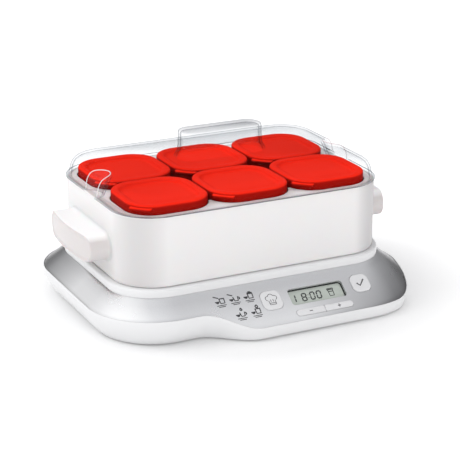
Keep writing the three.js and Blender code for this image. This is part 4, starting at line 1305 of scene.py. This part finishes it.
# Greys of the studio between its floor and its ceiling, by height as a share.
STUDIO_GREYS = [
    (0.50, 0.16), (0.67, 0.27), (0.74, 0.36), (0.81, 0.60), (0.87, 0.52), (0.92, 0.66), (0.955, 0.72),
]


def add_camera():
    """The camera, out from its aim by an azimuth, an elevation and a distance."""
    back = Vector((
        math.sin(AZIMUTH) * math.cos(ELEVATION),
        -math.cos(AZIMUTH) * math.cos(ELEVATION),
        math.sin(ELEVATION),
    ))
    data = bpy.data.cameras.new("camera")
    data.lens = LENS_MM
    data.sensor_width = 36
    camera = new_object("camera", data)
    camera.location = AIM + back * DISTANCE
    camera.rotation_euler = (-back).to_track_quat("-Z", "Y").to_euler()
    bpy.context.scene.camera = camera


def add_area_light(name, place, power, width, height):
    """A soft light that isn't itself mirrored in the object."""
    data = bpy.data.lights.new(name, "AREA")
    data.shape = "RECTANGLE"
    data.size = width
    data.size_y = height
    data.energy = power
    light = new_object(name, data)
    light.location = place
    light.visible_glossy = False
    aim = Vector((0, 0, 0.08)) - Vector(place)
    light.rotation_euler = aim.to_track_quat("-Z", "Y").to_euler()


def add_world():
    """Pale studio: a bright ceiling, a little to the left, over walls that fall off to grey."""
    world = bpy.data.worlds.new("studio")
    bpy.context.scene.world = world
    world.use_nodes = True
    nodes = Nodes(world.node_tree)
    direction = nodes.node("ShaderNodeTexCoord").outputs["Generated"]
    height = nodes.vector_math("DOT_PRODUCT", direction, (-0.2, 0.15, 0.97))
    ramp = nodes.node("ShaderNodeValToRGB", Fac=nodes.spread(height, 0, 1, -1, 1))
    stops = ramp.color_ramp.elements
    stops[0].color = rgb(0.12, 0.12, 0.122)
    stops[1].color = rgb(0.86, 0.86, 0.86)
    for position, grey in STUDIO_GREYS:
        stops.new(position).color = rgb(grey, grey, grey * 1.015)
    background = nodes.tree.nodes["Background"]
    nodes.feed(background.inputs["Color"], ramp.outputs["Color"])
    nodes.feed(background.inputs["Strength"], 1.38)


def add_floor():
    """A white sweep under and behind the object, glowing brighter away from it: painted light, weakest near
    the object so that its shadow stays.
    """
    size = 6.0
    mesh = bpy.data.meshes.new("floor")
    corners = [(-size, -size, 0), (size, -size, 0), (size, size, 0), (-size, size, 0)]
    mesh.from_pydata(corners, [], [(0, 1, 2, 3)])
    floor = new_object("floor", mesh)
    recipe = Recipe("floor", Roughness=0.6, Specular_IOR_Level=0.1)
    recipe.colour(recipe.noise(2), rgb(0.90, 0.90, 0.90), rgb(0.89, 0.89, 0.89))
    recipe.feed(recipe.shader.inputs["Emission Color"], rgb(1, 1, 1))
    # Painted light: the floor glows, more and more away from the object.
    distance = recipe.vector_math("LENGTH", recipe.coordinates)
    glow = recipe.spread(distance, 0.05, 0.40, 0.15, 0.27)
    recipe.feed(recipe.shader.inputs["Emission Strength"], glow)
    mesh.materials.append(recipe.material)


# ---- Assembly ------------------------------------------------------------------------------

add_camera()
add_world()
add_area_light("front", (0.1, -2.2, 0.7), 16, 0.9, 0.9)
add_area_light("left", (-1.7, 0.5, 1.2), 14, 1.2, 1.0)
add_floor()
add_casing()
add_silver_band()
add_bottom()
add_feet()
add_screws()
add_inlet()
add_heater_plate()
add_display()
add_square_button("program_key", PROGRAM_BUTTON, "program_button", "button_program")
add_square_button("confirm_key", CONFIRM_BUTTON, "ok_button", "button_ok")
add_keys()
add_button_symbols()
add_pictograms()
add_tray()
add_jars()
add_cover()
dress_inner_pieces()

bpy.context.scene.view_settings.view_transform = "Standard"
